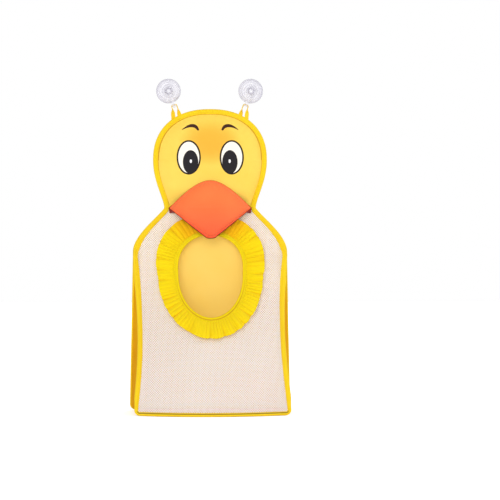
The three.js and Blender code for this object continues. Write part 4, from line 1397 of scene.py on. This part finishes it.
def beak_cloth():
    """Orange cloth that turns redder towards the beak's tip."""
    material, tree, shader = new_material("beak_cloth")
    height = add(tree, "SeparateXYZ", {0: own_place(tree)}).outputs[2]
    down = between(tree, height, BEAK_LIGHT_Z, BEAK_RED_Z, "SMOOTHSTEP")
    light = mixed(tree, down, screen(252, 128, 68), screen(253, 107, 64))
    dark = mixed(tree, down, screen(248, 114, 58), screen(247, 94, 55))
    woven(tree, shader, light, dark, 0.5 * MM, 0.3)
    return material


cover = cloth_piece("beak_cover_cloth", beak_cover(), **DISC, toward=FRONTWARD)
dress(thicken(cover, BEAK_CLOTH), beak_cloth(), "beak_cloth", "beak_cover")
filling = cloth_piece("beak_filling_pad", beak_filling(), **TUBE)
dress(filling, foam, "foam", "beak_filling")

# %% [markdown]
# The lining is cut a little larger than the cover, so that its edge shows below as a dark line. Towards
# both corners its outermost ring leaves the beak's edge and is drawn back to the neck seam, which makes the
# wedge.

# %% Beak lining
WEDGE_FROM = 39 * MM
WEDGE_WIDEN = 4 * MM
WEDGE_TOP = 2 * MM
WEDGE_FADE = 3 * MM
WEDGE_END = (59.6 * MM, 288.6 * MM)
WEDGE_Y = EDGE_Y - GAP - 1.6 * MM
WEB_ROWS = 6


def beak_lining():
    """Closed sheet a little larger than the cover, most below. At the corners a smooth weight moves its
    outermost ring from the beak's edge to the wedge's end."""
    edge = beak_outline()
    shows = smooth((BEAK_Z + ARCH_FADE - edge[:, 1:]) / ARCH_FADE)
    edge = edge + (ARCH_EDGE + (LINING_EDGE - ARCH_EDGE) * shows) * unit(edge - BEAK_MIDDLE)
    x, z = edge.T
    below = smooth((BEAK_Z + WEDGE_TOP - z) / WEDGE_FADE)
    weight = smooth((np.abs(x) - WEDGE_FROM) / WEDGE_WIDEN) * below
    end = np.stack([np.sign(x) * np.minimum(np.abs(x), WEDGE_END[0]), np.minimum(z, WEDGE_END[1])], 1)
    pull = np.linspace(1, 0, WEB_ROWS + 1)[:-1, None] * weight
    rings = ring_grid(edge, BEAK_MIDDLE, np.linspace(0, 0.98, 40))
    flat = np.concatenate([edge + pull[..., None] * (end - edge), rings])
    drawn = np.concatenate([pull, np.zeros(rings.shape[:2])])
    level = beak_back(flat[..., 1])
    rear = xyz(flat[..., 0], level + drawn * (WEDGE_Y - level), flat[..., 1])
    return np.concatenate([rear[::-1], rear - [0, BEAK_CLOTH, 0]])


lining = cloth_piece("beak_lining_cloth", beak_lining(), **TUBE)
dress(lining, lining_cloth, "beak_lining_cloth", "beak_lining")

# %% [markdown]
# A ribbon loop is sewn into the head's tape on each side and hangs in the valley of its hook. It is a flat
# section carried along a rounded path: across the valley the ribbon lies level, and down both legs it
# twists until its flat side almost faces the front at the seam.

# %% Ribbon loops
LOOP_ANGLE = np.radians(56)
LOOP_SHIFT = np.array([4 * MM, 20.4 * MM])
LOOP_SPREAD = 5.3 * MM
LOOP_SUNK = 2.5 * MM
LOOP_TWIST = 10 * MM
LOOP_TWIST_FROM = 4.5 * MM
LOOP_TURN = np.radians(72)
LEG = 3.85 * MM
LEG_TOP = -4.4 * MM
LEG_FOOT = -9 * MM
LIE = -2.9 * MM
LIE_HALF = 3 * MM
RIBBON_WIDTH = 6.2 * MM
RIBBON = 1.2 * MM
HOOK_LEAN = np.radians(20)

loop_foot = crown_point(LOOP_ANGLE)
head_half = np.array([HEAD_WIDTH / 2, CROWN_HEIGHT])
loop_out = unit((loop_foot - (0, HEAD_MID_Z)) ** (CROWN_FULL - 1) / head_half ** CROWN_FULL)
valley = loop_foot + LOOP_SHIFT


def softened(line, width):
    """A line whose points are means of their neighbours. Its ends stay."""
    ends = np.concatenate([np.repeat(line[:1], width, 0), line, np.repeat(line[-1:], width, 0)])
    run = np.cumsum(np.concatenate([np.zeros((1, line.shape[1])), ends]), 0)
    mean = (run[2 * width + 1:] - run[:-2 * width - 1]) / (2 * width + 1)
    return np.concatenate([line[:1], mean[1:-1], line[-1:]])


def loop_path():
    """Middle line (x, z) of the right loop: seam, leg, valley, leg, seam."""
    lean = np.array([np.sin(HOOK_LEAN), np.cos(HOOK_LEAN)])
    across = np.array([lean[1], -lean[0]])
    along = np.array([loop_out[1], -loop_out[0]])
    leg = np.array([(LIE_HALF, LIE), (LEG, LEG_TOP), (LEG, LEG_FOOT)])
    legs = np.concatenate([leg[::-1] * (-1, 1), leg])
    legs = valley + legs[:, :1] * across + legs[:, 1:] * lean
    feet = [loop_foot + way * LOOP_SPREAD * along - LOOP_SUNK * loop_out for way in (-1, 1)]
    return softened(resample(np.array([feet[0], *legs, feet[1]]), 140), 4)


def ribbon_loop(side):
    """Rounded flat section on the path. Its width turns from the depth direction to the path's own plane,
    by a smooth step of the distance below the valley."""
    x, z = (loop_path() * (side, 1)).T
    path = xyz(x, LAYERS_Y, z)
    along = unit(np.gradient(path, axis=0))
    below = (valley[1] + LIE - z - LOOP_TWIST_FROM) / LOOP_TWIST
    turn = LOOP_TURN * smooth(below) * np.sign(np.arange(len(z)) - len(z) / 2) * side
    depth = np.array([0.0, 1.0, 0.0])
    wide = np.cos(turn)[:, None] * depth + np.sin(turn)[:, None] * np.cross(along, depth)
    thick = np.cross(along, wide)
    across, ahead = superellipse(full_turn(24)[:, None], 0.3, 0.5)
    return path[:, None] + wide[:, None] * RIBBON_WIDTH / 2 * across + thick[:, None] * RIBBON / 2 * ahead


for name, side in SIDES:
    loop = cloth_piece(f"{name}_loop_ribbon", ribbon_loop(side), **TUBE)
    dress(loop, ribbon_cloth, "ribbon", f"{name}_loop")

# %% [markdown]
# The hook is a small plate of clear plastic with an eye for the cup's neck, bent into a valley. It is drawn
# flat first, as rings from the eye's hole to the plate's outline with rounded edges. Then a function bends
# the plate: length along it becomes an angle in the valley and height at the tip.

# %% Hooks
HOOK_HALF = 2.75 * MM
HOOK_PLATE = 2 * MM
HOOK_VALLEY_R = 5.2 * MM
HOOK_TIP_RISE = 3 * MM
HOOK_TIP_ROUND = 1 * MM
HOOK_EYE_R = 7 * MM
HOOK_STEM = 18.5 * MM
HOOK_HOLE_R = 3.3 * MM
HOOK_EDGE = 0.7 * MM
BEND_R = HOOK_VALLEY_R + HOOK_PLATE / 2
CLOUDS = 90.0
CLOUD_RELIEF = 0.03


def hook_outline():
    """Flat outline (across, length) about the eye: a circle that runs into a strip with a round end."""
    length = HOOK_STEM + np.pi * BEND_R + HOOK_TIP_RISE
    meet = np.arcsin(HOOK_HALF / HOOK_EYE_R)
    turn = np.linspace(np.pi - meet, meet - np.pi, 90)
    eye = HOOK_EYE_R * np.stack([np.sin(turn), np.cos(turn)], 1)
    down = np.linspace(HOOK_EYE_R * np.cos(meet), length - HOOK_TIP_ROUND, 60)[1:]
    strip = np.stack([np.full(len(down), -HOOK_HALF), -down], 1)
    corner = np.linspace(0, np.pi / 2, 8)[1:]
    tip = HOOK_TIP_ROUND * (1 - np.stack([np.cos(corner), np.sin(corner)], 1)) - (HOOK_HALF, length)
    left = np.concatenate([strip, tip])
    whole = np.concatenate([eye, left, left[::-1] * (-1, 1)])
    return resample(np.concatenate([whole, whole[:1]]), 241)[:-1]


def bent_plate(across, length, height):
    """Plate point to hook frame: straight to the stem's end, half a turn round the bend, then up."""
    radius = BEND_R + height
    turn = np.clip((length - HOOK_STEM) / BEND_R, 0, np.pi)
    before = np.maximum(HOOK_STEM - length, 0)
    past = np.maximum(length - HOOK_STEM - np.pi * BEND_R, 0)
    return xyz(across, radius * np.cos(turn), before + past - radius * np.sin(turn))


def hook_plate():
    """Closed rings from the hole over the inner face and the rim to the outer face, bent in one step, and
    the depth of plastic that is seen there, which falls off from the rim. That depth greys the plastic:
    partly as thicker plastic, partly as painted shade along the edge."""
    outline = hook_outline()
    hole = HOOK_HOLE_R * unit(outline)
    reach = np.linalg.norm(outline - hole, axis=1)
    turn = np.linspace(0, np.pi / 2, 5)[:-1]
    edge = np.outer(HOOK_EDGE * (1 - np.cos(turn)), np.ones(len(reach)))
    level = np.linspace(0, 1, 34)[:, None] * (reach - 2 * HOOK_EDGE) + HOOK_EDGE
    inside = np.concatenate([edge, level, (reach - edge)[::-1]])
    inside = np.concatenate([inside, inside[::-1]])
    sunk = HOOK_EDGE * (1 - np.sin(turn))
    height = HOOK_PLATE / 2 - np.concatenate([sunk, np.zeros(len(level)), sunk[::-1]])
    height = np.concatenate([-height, height[::-1]])[:, None]
    flat = hole[None] + unit(outline - hole)[None] * inside[..., None]
    to_edge = np.minimum(inside, reach - inside)
    return bent_plate(flat[..., 0], -flat[..., 1], height), np.exp(-to_edge / HOOK_EDGE)


def hung(points, side):
    """Hook frame to bag frame: turned about the depth axis by the lean, and moved to the valley."""
    lean = side * HOOK_LEAN
    x, y, z = np.moveaxis(points, -1, 0)
    across = x * np.cos(lean) + z * np.sin(lean)
    up = z * np.cos(lean) - x * np.sin(lean)
    return xyz(across + side * valley[0], y + LAYERS_Y, up + valley[1])


def clear_plastic(name, clear, grey, seen, rough):
    """Clear plastic: a share of it is seen and the rest is what lies behind. The share and a grey tint grow
    with the depth of plastic stored on its points and with cloudy patches, under a slightly uneven skin.
    Where the stored depth is high, the grey is partly thicker plastic and partly painted shade and painted
    reflection."""
    material, tree, shader = new_material(name)
    cloud = noise(tree, CLOUDS, 1.0, 1.5)
    depth = maths(tree, "MULTIPLY", stored(tree, "depth"), 0.8)
    share = maths(tree, "MULTIPLY_ADD", between(tree, cloud, 0.35, 0.7), 0.2, depth)
    feed(tree, shader, {
        "Base Color": mixed(tree, share, clear, grey),
        "Alpha": maths(tree, "MULTIPLY_ADD", share, 0.5, seen),
        "Roughness": maths(tree, "MULTIPLY_ADD", cloud, 0.08, rough),
        "Normal": bumped(tree, CLOUD_RELIEF, 0.4 * MM, cloud),
        "IOR": 1.46,
        "Coat Weight": 0.3,
    })
    return material


hook_plastic = clear_plastic("hook_plastic", screen(236, 234, 242), screen(168, 165, 178), 0.16, 0.24)
plate, rim_tint_and_shade = hook_plate()
for name, side in SIDES:
    hook = cloth_piece(f"{name}_hook_plate", hung(plate, side), **RING)
    store(hook, depth=rim_tint_and_shade)
    dress(hook, hook_plastic, "clear_plastic", f"{name}_hook", body=f"{name}_hanger")

# %% [markdown]
# The suction cup is turned about its stem. Its profile runs from the knob over the neck and the flared
# skirt to the rim, and back inside the hollow. Turning a profile is the shortest way to such a shape.

# %% Suction cups
CUP_R = 18 * MM
CUP_RIM = 0.9 * MM
CUP_RIM_WIDTH = 2.6 * MM
CUP_RIM_EDGES = (0.25 * MM, 0.15 * MM)
CUP_DISH = 3.6 * MM
CUP_BODY = 7.5 * MM
CUP_SHOULDER_R = 5.5 * MM
CUP_SHOULDER_DROP = 0.4 * MM
CUP_FLARE = ((6.6 * MM, 4.2 * MM), (12 * MM, 3 * MM))
CUP_NECK_R = 3 * MM
CUP_KNOB_R = 5 * MM
CUP_KNOB = 3.3 * MM
CUP_KNOB_FULL = 0.8
CUP_KNOB_SIDE = 0.3 * MM
CUP_KNOB_UNDER = (0.15 * MM, 0.08 * MM)
CUP_EDGE = 0.5 * MM
CUP_FILLET = 0.2 * MM
CUP_RIBS = (9.4 * MM, 13.2 * MM, 15.6 * MM)
CUP_RIB = 0.32 * MM
CUP_RIB_HALF = 0.5 * MM
CUP_FRONT = CUP_BODY + HOOK_PLATE + 2 * GAP
CUP_STEPS = 96
WALL_Y = HOOK_VALLEY_R + HOOK_PLATE + GAP + CUP_BODY
# greys the vinyl at rim, ribs, knob and neck: partly thicker vinyl, partly painted edge shade and painted
# ring reflections
VINYL_TINT_AND_SHADE = [
    *((at, CUP_RIB_HALF, 0.6) for at in CUP_RIBS),
    (CUP_R, 0.55 * MM, 1.0),
    (CUP_KNOB_R, 0.6 * MM, 0.7),
    (CUP_NECK_R, 0.4 * MM, 0.5),
]


def cup_profile():
    """Profile (radius, height over the wall) from the knob's pole to the hollow's pole."""
    turn = np.linspace(np.pi / 2 - 0.04, 0, 14)
    dome = CUP_FRONT + CUP_KNOB_SIDE + (CUP_KNOB - CUP_KNOB_SIDE) * np.sin(turn)
    knob = np.stack([CUP_KNOB_R * np.cos(turn) ** CUP_KNOB_FULL, dome], 1)
    neck = [
        (CUP_KNOB_R - CUP_KNOB_UNDER[0], CUP_FRONT + CUP_KNOB_UNDER[1]),
        (CUP_KNOB_R - CUP_EDGE, CUP_FRONT),
        (CUP_NECK_R + CUP_FILLET, CUP_FRONT),
        (CUP_NECK_R, CUP_FRONT - CUP_FILLET),
        (CUP_NECK_R, CUP_BODY + CUP_FILLET),
        (CUP_NECK_R + CUP_FILLET, CUP_BODY),
        (CUP_SHOULDER_R - CUP_EDGE, CUP_BODY),
    ]
    shoulder = (CUP_SHOULDER_R, CUP_BODY - CUP_SHOULDER_DROP)
    skirt = soft_curve(shoulder, *CUP_FLARE, (CUP_R - CUP_FILLET, CUP_RIM), 70)
    skirt[:, 1] += CUP_RIB * sum(bell(skirt[:, 0], at, CUP_RIB_HALF) for at in CUP_RIBS)
    rim = [
        (CUP_R, CUP_RIM - CUP_RIM_EDGES[0]),
        (CUP_R, CUP_RIM_EDGES[1]),
        (CUP_R - CUP_FILLET, 0),
        (CUP_R - CUP_RIM_WIDTH, 0),
    ]
    turn = np.linspace(0.08, np.pi / 2 - 0.03, 18)
    dish = np.stack([(CUP_R - CUP_RIM_WIDTH) * np.cos(turn), CUP_DISH * np.sin(turn)], 1)
    return np.concatenate([knob, neck, skirt, rim, dish])


def suction_cup(side):
    """Profile turned about the stem, with the wall at its back."""
    radius, height = cup_profile().T[..., None]
    turn = full_turn(CUP_STEPS)
    stem = hung(np.array([0, 0, HOOK_STEM]), side)
    return xyz(radius * np.cos(turn), WALL_Y - height, radius * np.sin(turn)) + stem


def cup_tint_and_shade():
    """Depth of vinyl seen at each point, and at the two poles that close the cup: a sum of bell curves over
    the radius, most at the rim, the knob's edge and along the ribs. It greys the vinyl: partly as thicker
    vinyl, partly as painted edge shade and painted ring reflections."""
    radius, _ = cup_profile().T
    rows = np.clip(sum(strength * bell(radius, at, half) for at, half, strength in VINYL_TINT_AND_SHADE), 0, 1)
    return np.concatenate([np.repeat(rows, CUP_STEPS), rows[[0, -1]]])


cup_vinyl = clear_plastic("cup_vinyl", screen(231, 228, 239), screen(158, 154, 170), 0.28, 0.3)
for name, side in SIDES:
    cup = cloth_piece(f"{name}_suction_cup_skirt", suction_cup(side), **TUBE)
    store(cup, depth=cup_tint_and_shade())
    dress(cup, cup_vinyl, "clear_vinyl", f"{name}_suction_cup", body=f"{name}_cup")

# %% [markdown]
# Sewing shows as short stitches along the tapes and the casing. Each is a small six-sided thread whose ends
# dip into the cloth. All stitches of a seam are worked out at once, as arrays of stitch, ring and side.

# %% Stitches
STITCH = 2.4 * MM
STITCH_PITCH = 3.3 * MM
STITCH_RINGS = 5
STITCH_SIDES = 6
THREAD_R = 0.3 * MM
THREAD_TAPER = 0.35
THREAD_LIFT = 0.45
THREAD_DIP = 1.3
HEAD_STITCH_IN = TAPE_FLANGE - 1.5 * MM
EDGE_STITCH_IN = LIP - 0.3 * MM
CASING_STITCH_OUT = 5.4 * MM
CASING_STITCH_AHEAD = 2.2 * MM


def stitch_faces(points, count):
    """Walls between the rings of each stitch, and its two ends."""
    start = np.arange(count)[:, None, None] * STITCH_RINGS * STITCH_SIDES
    i, j = np.meshgrid(np.arange(STITCH_RINGS - 1), np.arange(STITCH_SIDES), indexing="ij")
    corners = [(i, j), (i + 1, j), (i + 1, j + 1), (i, j + 1)]
    walls = np.stack([a * STITCH_SIDES + b % STITCH_SIDES for a, b in corners], -1).reshape(1, -1, 4) + start
    first = start[:, 0] + np.arange(STITCH_SIDES)
    last = start[:, 0] + STITCH_RINGS * STITCH_SIDES - 1 - np.arange(STITCH_SIDES)
    return [on_front(points, part) for part in (walls.reshape(-1, 4), first, last)]


def stitch_row(name, path, facing):
    """Threads along a path on a surface: rings along each stitch from t = -1 to 1, lifted by 0.45 - 1.3 t^2
    of a thread's radius, so the middle lies on the cloth and both ends are inside it."""
    run = length_along(path)
    middle = np.arange(STITCH_PITCH / 2, run[-1] - STITCH / 2, STITCH_PITCH)
    t = np.linspace(-1, 1, STITCH_RINGS)
    at = middle[:, None] + t * STITCH / 2
    place = np.stack([np.interp(at, run, column) for column in path.T], -1)
    up = unit(np.stack([np.interp(at, run, column) for column in facing.T], -1))
    side = unit(np.cross(np.gradient(place, axis=1), up))
    turn = full_turn(STITCH_SIDES)
    radius = THREAD_R * (1 - THREAD_TAPER * t ** 4)[:, None]
    rise = THREAD_R * (THREAD_LIFT - THREAD_DIP * t ** 2)[:, None] + radius * np.sin(turn)
    ring = up[:, :, None] * rise[..., None] + side[:, :, None] * (radius * np.cos(turn))[..., None]
    points = (place[:, :, None] + ring).reshape(-1, 3)
    return put_mesh(name, points, outward(points, stitch_faces(points, len(middle))))


def on_tape(name, inward_by, facing_by, turn=1):
    """Path along one of the tapes, a distance in from its edge and on its front or back."""
    (path, inward, facing), _ = tapes[name]
    return path + inward * inward_by + turn * facing * facing_by, turn * facing


def round_casing(out, ahead):
    """Path round the opening, at a distance outside it and in front of the mesh."""
    angle = np.linspace(0, 2 * np.pi, 600)
    x, z = round_mouth(angle, np.full_like(angle, out))
    path = xyz(x, front_y(x, z) - ahead, z)
    return path, all_facing(path, FRONTWARD)


thread = cloth("sewing_thread", screen(244, 204, 36), screen(226, 178, 24), 0.3 * MM)
seams = {
    "head_front_stitches": on_tape("head_binding", HEAD_STITCH_IN, HEAD_TAPE_HALF),
    "head_back_stitches": on_tape("head_binding", HEAD_STITCH_IN, HEAD_TAPE_HALF, -1),
    "front_edge_stitches": on_tape("front_binding", EDGE_STITCH_IN, LIP_HALF),
    "back_edge_stitches": on_tape("back_binding", EDGE_STITCH_IN, LIP_HALF),
    "casing_stitches": round_casing(CASING_STITCH_OUT, CASING_STITCH_AHEAD),
}
for name, (path, facing) in seams.items():
    dress(stitch_row(name, path, facing), thread, "edge_tape")
